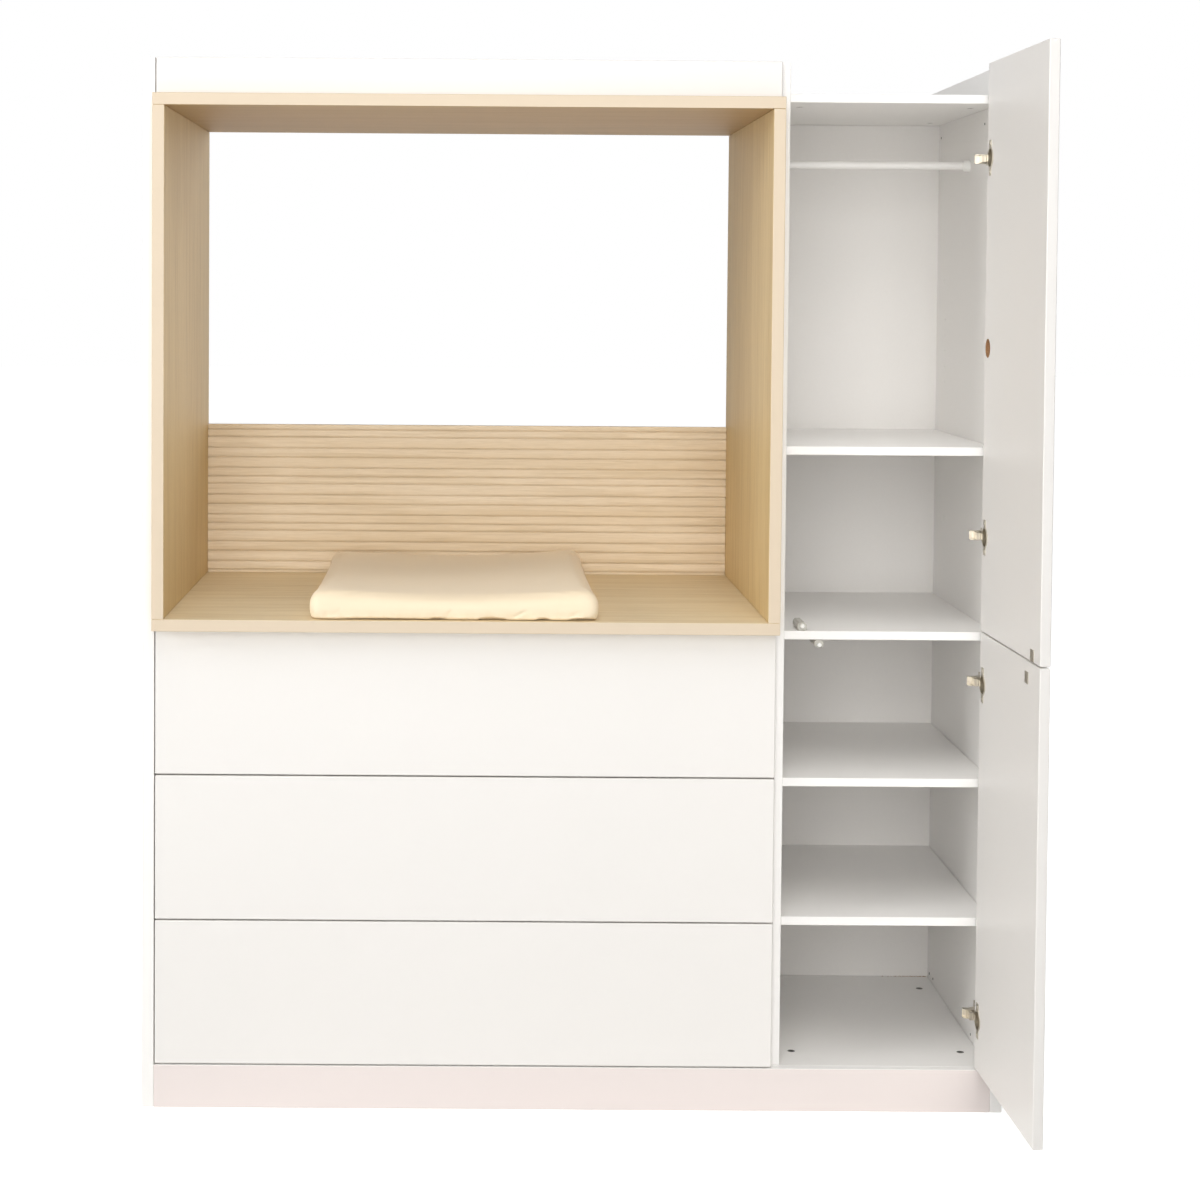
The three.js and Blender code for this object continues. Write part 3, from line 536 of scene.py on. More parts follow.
def rod(tree, radius, depth, **more):
    """A cylinder with its middle at the origin."""
    return out(tree, "GeometryNodeMeshCylinder", "Mesh", Radius=radius, Depth=depth, **more)


def move(tree, source, by):
    """Moves a form by a vector."""
    return out(tree, "GeometryNodeTransform", "Geometry", Geometry=source, Translation=by)


def join(tree, sources):
    """Puts forms together."""
    return out(tree, "GeometryNodeJoinGeometry", "Geometry", Geometry=sources)


def instances(tree, points, form, **more):
    """Sets a form on points."""
    settings = {"Points": points, "Instance": form, **more}
    return out(tree, "GeometryNodeInstanceOnPoints", "Instances", **settings)


def facing_turn(tree):
    """The turn that takes +Z to the way that a point faces."""
    settings = {"data_type": "FLOAT_VECTOR", "Name": "facing"}
    facing = out(tree, "GeometryNodeInputNamedAttribute", "Attribute", **settings)
    return out(tree, "FunctionNodeAlignRotationToVector", "Rotation", axis="Z", Vector=facing)


def chance_from(tree, size, kind, suffix, least, most):
    """A number or vector between two others, drawn for each point from the tree's seed. The suffix
    is that of the sockets of its kind."""
    settings = {"data_type": kind, "Min" + suffix: least, "Max" + suffix: most}
    settings["Seed"] = (size, "Seed")
    return out(tree, "FunctionNodeRandomValue", "Value" + suffix, **settings)


def slat_tree():
    """A milled board: a thin core with sets of five slats of different heights standing on it, and
    a strip over and under them. Its origin is the middle of its front face's top edge."""
    numbers = floats(
        "Length", "Height", "Thickness", "Pitch", "First", "Groove width", "Groove depth"
    )
    tree, size = new_tree("Milled slats", {**numbers, "Sets": "Int", "Place": "Vector"})
    height, pitch, first = (size, "Height"), (size, "Pitch"), (size, "First")
    groove_width, groove_depth = (size, "Groove width"), (size, "Groove depth")

    def bar(tall, top, depth, front):
        """A bar along the board, down from its top and back from its front."""
        z = calculate(tree, "ADD", top, calculate(tree, "MULTIPLY", tall, -0.5))
        y = calculate(tree, "ADD", front, calculate(tree, "MULTIPLY", depth, 0.5))
        return move(tree, block(tree, (size, "Length"), depth, tall), combine(tree, 0.0, y, z))

    into_core = calculate(tree, "ADD", groove_depth, 1 * MM)
    half_groove = calculate(tree, "MULTIPLY", groove_width, 0.5)
    slats = []
    above = 0.0
    for share in (0.155, 0.235, 0.2, 0.225, 0.185):
        whole = calculate(tree, "MULTIPLY", pitch, share)
        tall = calculate(tree, "SUBTRACT", whole, groove_width)
        start = calculate(tree, "MULTIPLY", pitch, -above)
        top = calculate(tree, "SUBTRACT", start, half_groove)
        slats.append(bar(tall, top, into_core, 0.0))
        above += share
    line = add(
        tree,
        "GeometryNodeMeshLine",
        {
            "mode": "OFFSET",
            "Count": (size, "Sets"),
            "Start Location": combine(tree, 0.0, 0.0, calculate(tree, "MULTIPLY", first, -1.0)),
            "Offset": combine(tree, 0.0, 0.0, calculate(tree, "MULTIPLY", pitch, -1.0)),
        },
    )
    sets = instances(tree, (line, "Mesh"), join(tree, slats))
    core_depth = calculate(tree, "SUBTRACT", (size, "Thickness"), groove_depth)
    core = bar(height, 0.0, core_depth, groove_depth)
    top_strip = bar(calculate(tree, "SUBTRACT", first, half_groove), 0.0, into_core, 0.0)
    used = calculate(tree, "MULTIPLY", pitch, (size, "Sets"))
    used = calculate(tree, "ADD", used, first)
    used = calculate(tree, "ADD", used, half_groove)
    left_over = calculate(tree, "SUBTRACT", height, used)
    foot = bar(left_over, calculate(tree, "MULTIPLY", used, -1.0), into_core, 0.0)
    board = join(tree, [sets, core, top_strip, foot])
    return close_tree(tree, size, move(tree, board, (size, "Place")))


def crossed_head_tree():
    """A round head with a cross recess on each point, facing the way that the point faces and
    turned about it by a seeded amount."""
    numbers = floats("Radius", "Height", "Crown", "Recess", "Slot")
    tree, size = new_tree("Crossed heads", {**numbers, "Seed": "Int"})
    height, slot = (size, "Height"), (size, "Slot")
    drum = rod(tree, (size, "Radius"), height, **{"Vertices": 28, "Side Segments": 4})
    # The drum narrows towards its top
    where = out(tree, "GeometryNodeInputPosition", "Position")
    parts = add(tree, "ShaderNodeSeparateXYZ", {"Vector": where})
    level = calculate(tree, "DIVIDE", (parts, "Z"), height)
    level = calculate(tree, "ADD", level, 0.5)
    level = calculate(tree, "POWER", level, 3.0)
    level = calculate(tree, "MULTIPLY", level, (size, "Crown"))
    width = calculate(tree, "SUBTRACT", 1.0, level)
    squeeze = combine(tree, width, width, 1.0)
    settings = {"operation": "MULTIPLY", "Vector": where, "Vector_001": squeeze}
    crowned = out(tree, "ShaderNodeVectorMath", "Vector", **settings)
    head = out(tree, "GeometryNodeSetPosition", "Geometry", Geometry=drum, Position=crowned)
    reach = calculate(tree, "MULTIPLY", (size, "Radius"), (size, "Recess"))
    lift = combine(tree, 0.0, 0.0, calculate(tree, "MULTIPLY", height, 0.5))
    arms = [
        move(tree, block(tree, x, y, height), lift) for x, y in ((reach, slot), (slot, reach))
    ]
    settings = {"operation": "DIFFERENCE", "Mesh 1": head, "Mesh 2": arms}
    cut = out(tree, "GeometryNodeMeshBoolean", "Mesh", **settings)
    chance = chance_from(tree, size, "FLOAT", "_001", 0.0, math.pi / 2)
    settings = {"Axis": (0.0, 0.0, 1.0), "Angle": chance}
    spin = out(tree, "FunctionNodeAxisAngleToRotation", "Rotation", **settings)
    settings = {"rotation_space": "LOCAL", "Rotation": facing_turn(tree), "Rotate By": spin}
    turn = out(tree, "FunctionNodeRotateRotation", "Rotation", **settings)
    return close_tree(tree, size, instances(tree, (size, "Geometry"), cut, Rotation=turn))


def pin_tree():
    """A shelf pin on each point: a round peg with a collar against the wall."""
    tree, size = new_tree("Shelf pins", floats("Radius", "Length"))
    radius, length = (size, "Radius"), (size, "Length")
    collar_length = 1.2 * MM
    peg = rod(tree, radius, length, Vertices=24)
    peg = move(tree, peg, combine(tree, 0.0, 0.0, calculate(tree, "MULTIPLY", length, 0.5)))
    collar = rod(tree, calculate(tree, "MULTIPLY", radius, 1.5), collar_length, Vertices=24)
    collar = move(tree, collar, (0.0, 0.0, collar_length / 2))
    pin = join(tree, [peg, collar])
    pins = instances(tree, (size, "Geometry"), pin, Rotation=facing_turn(tree))
    return close_tree(tree, size, pins)


def chip_tree():
    """A splinter of the board's core on each point, sized and turned by seeded amounts."""
    tree, size = new_tree("Chips", {**floats("Length"), "Seed": "Int"})
    width, height = 0.9 * MM, 0.6 * MM
    splinter = block(tree, (size, "Length"), width, height)
    share = chance_from(tree, size, "FLOAT", "_001", 0.35, 1.0)
    most = Vector((0.15, 0.15, 0.5))
    turn = chance_from(tree, size, "FLOAT_VECTOR", "", -most, most)
    chips = instances(tree, (size, "Geometry"), splinter, Rotation=turn, Scale=share)
    return close_tree(tree, size, chips)


def grow(name, tree, values, points=(), facing=()):
    """Runs a tree on points, each with the way that it faces, and returns a plain mesh."""
    mesh = bpy.data.meshes.new(name)
    mesh.from_pydata([tuple(p) for p in points], [], [])
    if len(facing):
        attribute = mesh.attributes.new("facing", "FLOAT_VECTOR", "POINT")
        attribute.data.foreach_set("vector", [c for way in facing for c in way])
    carrier = link_object(name + "_points", mesh)
    modifier = carrier.modifiers.new("Grow", "NODES")
    modifier.node_group = tree
    sockets = {s.name: s.identifier for s in tree.interface.items_tree if s.in_out == "INPUT"}
    for label, value in values.items():
        modifier[sockets[label]] = value
    made = plain_mesh(carrier)
    bpy.data.objects.remove(carrier)
    made.name = name
    return made


def heads_on(name, places, sizes, seed, finish, body):
    """Crossed heads on places, written as (point, way that it faces), as one piece that rides on a
    body. Sizes are the head's radius, height, crown, recess and slot."""
    tree = bpy.data.node_groups.get("Crossed heads") or crossed_head_tree()
    material = material_named(finish)
    values = dict(zip(("Radius", "Height", "Crown", "Recess", "Slot"), sizes))
    values.update({"Seed": seed, "Finish": material})
    points, facing = zip(*places)
    mesh = grow(name, tree, values, points, facing)
    soften(mesh, degrees=30)
    return dress(link_object(name, mesh), material, body)


# Steps


class DRESSER_OT_stage(bpy.types.Operator):
    """Lays the floor, hangs the lamps, lights the room and stands the camera"""

    bl_idname = "dresser.stage"
    bl_label = "Stage"

    def execute(self, context):
        scene = context.scene
        settings = scene.dresser_stage
        scene.view_settings.view_transform = "Standard"

        # Where the photograph was taken from, fitted to the dresser's own edges
        yaw, tilt, roll = math.radians(0.0495), math.radians(2.0394), math.radians(0.3951)
        forward = Vector(
            (math.sin(yaw) * math.cos(tilt), math.cos(yaw) * math.cos(tilt), -math.sin(tilt))
        )
        level = Vector((math.cos(yaw), -math.sin(yaw), 0))
        upright = level.cross(forward)
        right = level * math.cos(roll) + upright * math.sin(roll)
        up = -level * math.sin(roll) + upright * math.cos(roll)
        camera = bpy.data.cameras.new("Camera")
        camera.lens = 66.6365
        camera.sensor_width = 36
        camera.shift_x = 0.10806
        camera.shift_y = -0.19088
        camera.clip_end = 200
        eye = bpy.data.objects.new("Camera", camera)
        turn = Matrix((right, up, -forward)).transposed()
        stand = (-0.2019, -4.0998, 1.5233)
        eye.matrix_world = Matrix.Translation(stand) @ turn.to_4x4()
        scene.collection.objects.link(eye)
        scene.camera = eye

        # Broad square lamps, each with its place and its power, all aimed at one point
        lamp_side = 3.0
        target = Vector((0.0, 0.0, 1.0))
        for name, spot, power in (
            ("Front lamp", (-0.3, -5.0, 1.9), settings.front_power),
            ("Left lamp", (-5.2, -2.0, 2.4), settings.left_power),
            ("High lamp", (0.0, -4.6, 3.6), settings.high_power),
            ("Overhead lamp", (0.0, -2.2, 4.4), settings.overhead_power),
            ("Rear lamp", (3.2, 4.2, 2.6), settings.rear_power),
        ):
            lamp = bpy.data.lights.new(name, "AREA")
            lamp.shape = "SQUARE"
            lamp.size = lamp_side
            lamp.energy = power
            hung = bpy.data.objects.new(name, lamp)
            turn = (target - Vector(spot)).to_track_quat("-Z", "Y").to_matrix().to_4x4()
            hung.matrix_world = Matrix.Translation(spot) @ turn
            scene.collection.objects.link(hung)

        # A dim room that looks white
        scene.world = bpy.data.worlds.new("White room")
        tree = empty_tree(scene.world)
        white = (1.0, 1.0, 1.0, 1.0)
        dim, bright = [
            out(tree, "ShaderNodeBackground", "Background", Color=white, Strength=power)
            for power in (settings.room_light, 1.0)
        ]
        mixed = {"Fac": seen_directly(tree), "Shader": dim, "Shader_001": bright}
        both = out(tree, "ShaderNodeMixShader", "Shader", **mixed)
        add(tree, "ShaderNodeOutputWorld", {"Surface": both})

        # A matt floor, a hair under the feet, that looks white away from the dresser
        sunk = 0.2 * MM
        near, far = 0.7, 1.6
        profile = [(settings.floor_radius, 0.0), (0, 0.0)]
        floor = lathe("floor", profile, (0, 0, -sunk), (0, 0, 1), steps=96)
        material = bpy.data.materials.new("Pale studio floor")
        tree = empty_tree(material)
        place = out(tree, "ShaderNodeTexCoord", "Object")
        away = out(tree, "ShaderNodeVectorMath", "Value", operation="LENGTH", Vector=place)
        paler = spread(tree, away, settings.floor_glow, 1.0, near, far)
        glow = calculate(tree, "MULTIPLY", seen_directly(tree), paler)
        shine = out(tree, "ShaderNodeEmission", "Emission", Strength=glow)
        colour = opaque(settings.floor_colour)
        matt = out(tree, "ShaderNodeBsdfDiffuse", "BSDF", Color=colour)
        both = out(tree, "ShaderNodeAddShader", "Shader", Shader=matt, Shader_001=shine)
        add(tree, "ShaderNodeOutputMaterial", {"Surface": both})
        floor.data.materials.append(material)
        return {"FINISHED"}


class DRESSER_OT_finishes(bpy.types.Operator):
    """Gives every carried-over node its finish"""

    bl_idname = "dresser.finishes"
    bl_label = "Board and metal finishes"

    def execute(self, context):
        colours = context.scene.dresser_finishes
        board, front = colours.white_board, colours.white_front
        paint(in_slot("white_board"), melamine("White melamine board", board, 0.42))
        paint(in_slot("white_front"), melamine("White melamine front", front, 0.4))
        # The plinth's front is darker and pinker as painted shade; its top edge keeps the boards'
        # white
        band = (79.5 * MM, board)
        paint(["plinth_front"], melamine("White melamine plinth with painted shade", colours.plinth, 0.45, band))
        # Each board's oak decor gets its own tint, which is painted shade.
        for name, grain, painted_shade, nodes in (
            ("Oak decor, slats", "X", colours.slat_painted_shade, ["niche_slatted_panel"]),
            ("Oak decor, floor", "X", colours.floor_painted_shade, ["niche_floor"]),
            ("Oak decor, ceiling", "X", colours.ceiling_painted_shade, ["niche_ceiling"]),
            ("Oak decor, walls", "Z", colours.wall_painted_shade, ["niche_left_wall", "niche_right_wall"]),
        ):
            paint(nodes, oak_decor(name, grain, colours, painted_shade))
        for slot, name, colour, *look in (
            # Hardboard: pressed fibres under white paint, with a faint speckle of about 4 mm
            ("hardboard", "White hardboard", colours.hardboard, 0.55, 260.0, 0.03, 0.1 * MM),
            # Drawer board: chipboard in white paper foil, even and matt
            ("drawer_board", "Foiled drawer board", colours.drawer_board)
            + (0.5, 180.0, 0.02, 0.05 * MM),
            # Powder coat: melted powder on steel, with an orange peel of about 1.5 mm
            ("coated_steel", "Powder-coated steel", colours.coated_steel)
            + (0.35, 650.0, 0.01, 0.08 * MM),
            # Moulded ABS and nylon: even colour, satin, with the tool's fine spark grain of 1 mm
            ("grey_plastic", "Moulded grey plastic", colours.grey_plastic)
            + (0.42, 1000.0, 0.05, 0.05 * MM),
            ("white_plastic", "Moulded white plastic", colours.white_plastic)
            + (0.32, 1000.0, 0.02, 0.03 * MM),
        ):
            paint(in_slot(slot), speckled(name, colour, *look))
        paint(in_slot("nickel"), metal("Nickel-plated steel", colours.nickel))
        # Zinc die-cast: dull dark grey, left as it is cast
        metal("Die-cast zinc", colours.zinc)
        raw_chipboard("Raw chipboard", colours.chipboard)
        return {"FINISHED"}


class DRESSER_OT_slatted_back(bpy.types.Operator):
    """Makes the niche's milled back board, with rounded lips along its grooves"""

    bl_idname = "dresser.slatted_back"
    bl_label = "Slatted back"

    def execute(self, context):
        settings = context.scene.dresser_slats
        low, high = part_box("niche_slatted_panel")
        oak = material_named("Oak decor, slats")
        values = {
            "Length": high.x - low.x,
            "Height": high.z - low.z,
            "Thickness": high.y - low.y,
            "Pitch": settings.pitch,
            "First": settings.first,
            "Groove width": settings.groove_width,
            "Groove depth": settings.groove_depth,
            "Sets": 3,
            "Place": ((low.x + high.x) / 2, low.y, high.z),
            "Finish": oak,
        }
        board = link_object("slatted_back", grow("slatted_back", slat_tree(), values))
        bevel = board.modifiers.new("Lips", "BEVEL")
        bevel.width = settings.lip
        bevel.segments = 3
        board.data = plain_mesh(board)
        soften(board.data, degrees=40)
        dress(board, oak, "carcass")
        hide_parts("niche_slatted_panel")
        return {"FINISHED"}


class DRESSER_OT_rail(bpy.types.Operator):
    """Makes the clothes rail as a round tube"""

    bl_idname = "dresser.rail"
    bl_label = "Clothes rail"

    def execute(self, context):
        low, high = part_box("clothes_rail")
        middle = (low + high) / 2
        length = high.x - low.x
        radius = (high.z - low.z) / 2
        wall, lip = 1.2 * MM, 0.3 * MM
        profile = [
            (radius - wall, 0),
            (radius - lip, 0),
            (radius, lip),
            (radius, length - lip),
            (radius - lip, length),
            (radius - wall, length),
            (radius - wall, 0),
        ]
        tube = lathe("rail_tube", profile, (low.x, middle.y, middle.z), (1, 0, 0), steps=64)
        # The profile's last ring lies on its first
        work = bmesh.new()
        work.from_mesh(tube.data)
        bmesh.ops.remove_doubles(work, verts=work.verts, dist=1e-6)
        bmesh.ops.recalc_face_normals(work, faces=work.faces)
        work.to_mesh(tube.data)
        work.free()
        soften(tube.data)
        dress(tube, material_named("Powder-coated steel"), "carcass")
        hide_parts("clothes_rail")
        return {"FINISHED"}


class DRESSER_OT_screws(bpy.types.Operator):
    """Sets the screws of the hinges and of the strike plates"""

    bl_idname = "dresser.screws"
    bl_label = "Screws"

    def execute(self, context):
        settings = context.scene.dresser_fittings
        sizes = (settings.screw_radius, settings.screw_height, 0.4, 1.15, 0.75 * MM)
        finish = "Nickel-plated steel"
        # Depths in the door: on a cup's flange, and sunk in a strike plate to clear the plunger
        on_flange, in_strike = 19.7, 18.75
        from_cup, from_arm = 26, 17
        arm_x, arm_y = 776.6, 46
        on_plates = []
        for body, heights in hinge_heights.items():
            sides = [(z, side) for z in heights for side in (-1, 1)]
            points = [on_door(cup_x, on_flange, z + side * from_cup) for z, side in sides]
            strike_x, strike_z = strike_places[body]
            points.append(on_door(strike_x, in_strike, strike_z))
            places = [(point, door_inward) for point in points]
            heads_on(body + "_screws", places, sizes, settings.seed, finish, body)
            on_plates += [
                (Vector((arm_x, arm_y, z + side * from_arm)) * MM, (-1, 0, 0)) for z, side in sides
            ]
        heads_on("mounting_plate_screws", on_plates, sizes, settings.seed, finish, "carcass")
        return {"FINISHED"}


class DRESSER_OT_cams(bpy.types.Operator):
    """Fills the boards' bores with their cam fittings"""

    bl_idname = "dresser.cams"
    bl_label = "Cam fittings"

    def execute(self, context):
        settings = context.scene.dresser_fittings
        recessed = 0.5
        deep = settings.cam_height / 2 / MM + recessed
        # Each board's face, the way that it looks and how far back its bores are
        boards = ((80, 1, fitting_depths), (880.5, -1, fitting_depths), (1877, -1, (125, 495)))
        places = [
            (Vector((x, y, face - way * deep)) * MM, (0, 0, way))
            for x in (423, 746)
            for face, way, depths in boards
            for y in depths
        ]
        sizes = (settings.cam_radius, settings.cam_height, 0.06, 1.1, 1.6 * MM)
        heads_on("cam_fittings", places, sizes, settings.seed, "Die-cast zinc", "carcass")
        # Fixings of the top and bottom boards, in the right side panel
        spots = [(540, 1850), (150, 1850), (540, 92), (504, 92), (156, 92)]
        sunk_x = right_wall_x - 0.3
        places = [(Vector((sunk_x, y, z)) * MM, (-1, 0, 0)) for y, z in spots]
        sizes = (2.6 * MM, 1.0 * MM, 0.3, 1.15, 0.9 * MM)
        heads_on("wall_fixings", places, sizes, settings.seed, "Die-cast zinc", "carcass")
        return {"FINISHED"}


class DRESSER_OT_shelf_pins(bpy.types.Operator):
    """Sets the pins that the loose shelves lie on"""

    bl_idname = "dresser.shelf_pins"
    bl_label = "Shelf pins"

    def execute(self, context):
        settings = context.scene.dresser_fittings
        points, facing = [], []
        for shelf in ("shelf_1", "shelf_2", "shelf_4"):
            low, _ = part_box(shelf)
            z = low.z - settings.pin_radius * 1.5 - 0.1 * MM
            for y in fitting_depths:
                points += [(left_wall_x * MM, y * MM, z), (right_wall_x * MM, y * MM, z)]
                facing += [(1, 0, 0), (-1, 0, 0)]
        nickel = material_named("Nickel-plated steel")
        values = {"Radius": settings.pin_radius, "Length": settings.pin_length, "Finish": nickel}
        mesh = grow("shelf_pins", pin_tree(), values, points, facing)
        soften(mesh)
        dress(link_object("shelf_pins", mesh), nickel, "carcass")
        return {"FINISHED"}


class DRESSER_OT_spare_bore(bpy.types.Operator):
    """Lines the upper door's spare cup bore with raw chipboard"""

    bl_idname = "dresser.spare_bore"
    bl_label = "Spare bore"

    def execute(self, context):
        radius, depth, skin, set_back = 17.45 * MM, 12.8 * MM, 0.2 * MM, 0.1 * MM
        profile = [
            (0, -depth),
            (radius, -depth),
            (radius, -set_back),
            (radius - skin, -set_back),
            (radius - skin, skin - depth),
            (0, skin - depth),
        ]
        inner_face, height = 18, 1426.25
        mouth = on_door(cup_x, inner_face, height)
        lining = lathe("spare_bore_lining", profile, mouth, door_inward, steps=64)
        dress(lining, material_named("Raw chipboard"), "upper_door")
        return {"FINISHED"}


class DRESSER_OT_chips(bpy.types.Operator):
    """Strews splinters of the core where the back panel's joint was sawn"""

    bl_idname = "dresser.chips"
    bl_label = "Chips along the joint"

    def execute(self, context):
        settings = context.scene.dresser_fittings
        core = material_named("Raw chipboard")
        # The joint's left end, its length and its line, in millimetres
        left, length, back, z = 684, 92, 557.6, 80.3
        count, wander = 30, 0.7
        points = []
        for k in range(count):
            # They thin out to the left
            share = (k / count) ** 0.6
            y = back + wander * math.sin(k * 2.3)
            points.append(Vector((left + length * share, y, z)) * MM)
        values = {"Length": settings.chip_length, "Seed": settings.seed, "Finish": core}
        mesh = grow("joint_chips", chip_tree(), values, points)
        dress(link_object("joint_chips", mesh), core, "carcass")
        return {"FINISHED"}


class DRESSER_OT_wall_caps(bpy.types.Operator):
    """Puts the cover caps on the wardrobe's right wall"""

    bl_idname = "dresser.wall_caps"
    bl_label = "Cover caps"

    def execute(self, context):
        radius = 5.5 * MM
        rim = [(radius, 0), (radius, 0.5 * MM), (radius * 0.85, 1.0 * MM)]
        profile = [(0, 0), *rim, (0, 1.2 * MM)]
        for name, y, z in (("upper", 492, 1550), ("lower", 465, 1065)):
            at = Vector((right_wall_x - 0.1, y, z)) * MM
            cap = lathe(name + "_cover_cap", profile, at, (-1, 0, 0), steps=40)
            dress(cap, material_named("Moulded white plastic"), "carcass")
        return {"FINISHED"}


def pad_outline(half_width, half_length, settings):
    """A rounded rectangle's points in turn, drawn in between its corners."""
    radius = min(settings.corner, half_width * 0.9)
    points = []
    corners = ((1, 1), (-1, 1), (-1, -1), (1, -1))
    corner_steps, side_steps = 8, 24
    for index, (across, along) in enumerate(corners):
        centre = Vector((across * (half_width - radius), along * (half_length - radius)))
        for step in range(corner_steps + 1):
            turn = (index + step / corner_steps) * math.pi / 2
            points.append(centre + Vector((math.cos(turn), math.sin(turn))) * radius)
        after = corners[(index + 1) % 4]
        turn = (index + 1) * math.pi / 2
        start = points[-1]
        end = Vector((after[0] * (half_width - radius), after[1] * (half_length - radius)))
        end = end + Vector((math.cos(turn), math.sin(turn))) * radius
        points += [start.lerp(end, step / side_steps) for step in range(1, side_steps)]
    drawn = []
    for point in points:
        across, along = point.x / half_width, point.y / half_length
        drawn.append(
            (
                across * (half_width - settings.waist * (1 - along**2)),
                along * (half_length - settings.waist * (1 - across**2)),
            )
        )
    return drawn


def pad_height(x, y, half_width, half_length, settings):
    """Height of the pad's top over its foot: a trough between two ridges."""
    back = min(max((y / half_length + 1) / 2, 0), 1)
    if x < 0:
        rise = settings.left_rise_front * (1 - back) + settings.left_rise_rear * back
    else:
        rise = settings.right_rise_front * (1 - back) + settings.right_rise_rear * back
    steepness = 1.8
    return settings.middle + rise * min(abs(x) / half_width, 1) ** steepness


def pad_mesh(low, high, settings, inset):
    """The pad's closed form before its cover is drawn over it."""
    half_width = (high.x - low.x) / 2
    half_length = (high.y - low.y) / 2
    centre = (low + high) / 2
    # Share of the height, and how far the ring is set in, from the foot's middle round to the top's
    foot_rings = [(0, 150), (0, 60), (0, 14)]
    side_rings = [(0.03, 6), (0.12, 2.2), (0.3, 0.4), (0.5, 0), (0.68, 1.6), (0.8, 4.5)]
    side_rings += [(0.89, 9), (0.95, 15), (0.985, 23)]
    top_rings = [(1, set_in) for set_in in (34, 60, 100, 150, 200, 235)]
    work = bmesh.new()
    loops = []
    for share, set_in in foot_rings + side_rings + top_rings:
        a = half_width - inset - set_in * MM
        b = half_length - inset - set_in * MM
        loop = []
        for x, y in pad_outline(a, b, settings):
            z = (pad_height(x, y, half_width, half_length, settings) - inset) * share
            loop.append(work.verts.new((centre.x + x, centre.y + y, low.z + z)))
        loops.append(loop)
    foot = work.verts.new((centre.x, centre.y, low.z))
    top = work.verts.new((centre.x, centre.y, low.z + settings.middle - inset))
    count = len(loops[0])
    for k in range(count):
        n = (k + 1) % count
        work.faces.new((foot, loops[0][n], loops[0][k]))
        work.faces.new((top, loops[-1][k], loops[-1][n]))
        for under, over in zip(loops, loops[1:]):
            work.faces.new((under[k], under[n], over[n], over[k]))
    bmesh.ops.recalc_face_normals(work, faces=work.faces)
    mesh = bpy.data.meshes.new("changing_pad_cover")
    work.to_mesh(mesh)
    work.free()
    return mesh


def vertices_of(mesh):
    """A mesh's points as an array."""
    flat = np.empty(len(mesh.vertices) * 3)
    mesh.vertices.foreach_get("co", flat)
    return flat.reshape(-1, 3)


def set_vertices(mesh, points):
    """Puts an array of points back in a mesh."""
    mesh.vertices.foreach_set("co", points.ravel())
    mesh.update()


def swell(pad, settings, foot):
    """Lets the foam push the cover out, as cloth under pressure, and caps how far it moves."""
    before = vertices_of(pad.data)
    held = pad.vertex_groups.new(name="held")
    resting_height = 3 * MM
    resting = [int(i) for i in np.nonzero(before[:, 2] < foot + resting_height)[0]]
    held.add(resting, 1.0, "REPLACE")
    cloth = pad.modifiers.new("Cover", "CLOTH")
    for name, value in {
        "quality": 6,
        "mass": 0.25,
        "tension_stiffness": 12,
        "compression_stiffness": 12,
        "shear_stiffness": 6,
        "bending_stiffness": 1.0,
        "vertex_group_mass": "held",
        "use_pressure": True,
        "uniform_pressure_force": settings.pressure,
    }.items():
        setattr(cloth.settings, name, value)
    cloth.settings.effector_weights.gravity = 0
    scene = bpy.context.scene
    for step in range(1, settings.frames + 1):
        scene.frame_set(step)
    graph = bpy.context.evaluated_depsgraph_get()
    after = vertices_of(pad.evaluated_get(graph).data)
    pad.modifiers.clear()
    scene.frame_set(1)
    moved = after - before
    far = np.linalg.norm(moved, axis=1, keepdims=True)
    moved *= np.minimum(1, settings.swell / np.maximum(far, 1e-9))
    set_vertices(pad.data, before + moved)


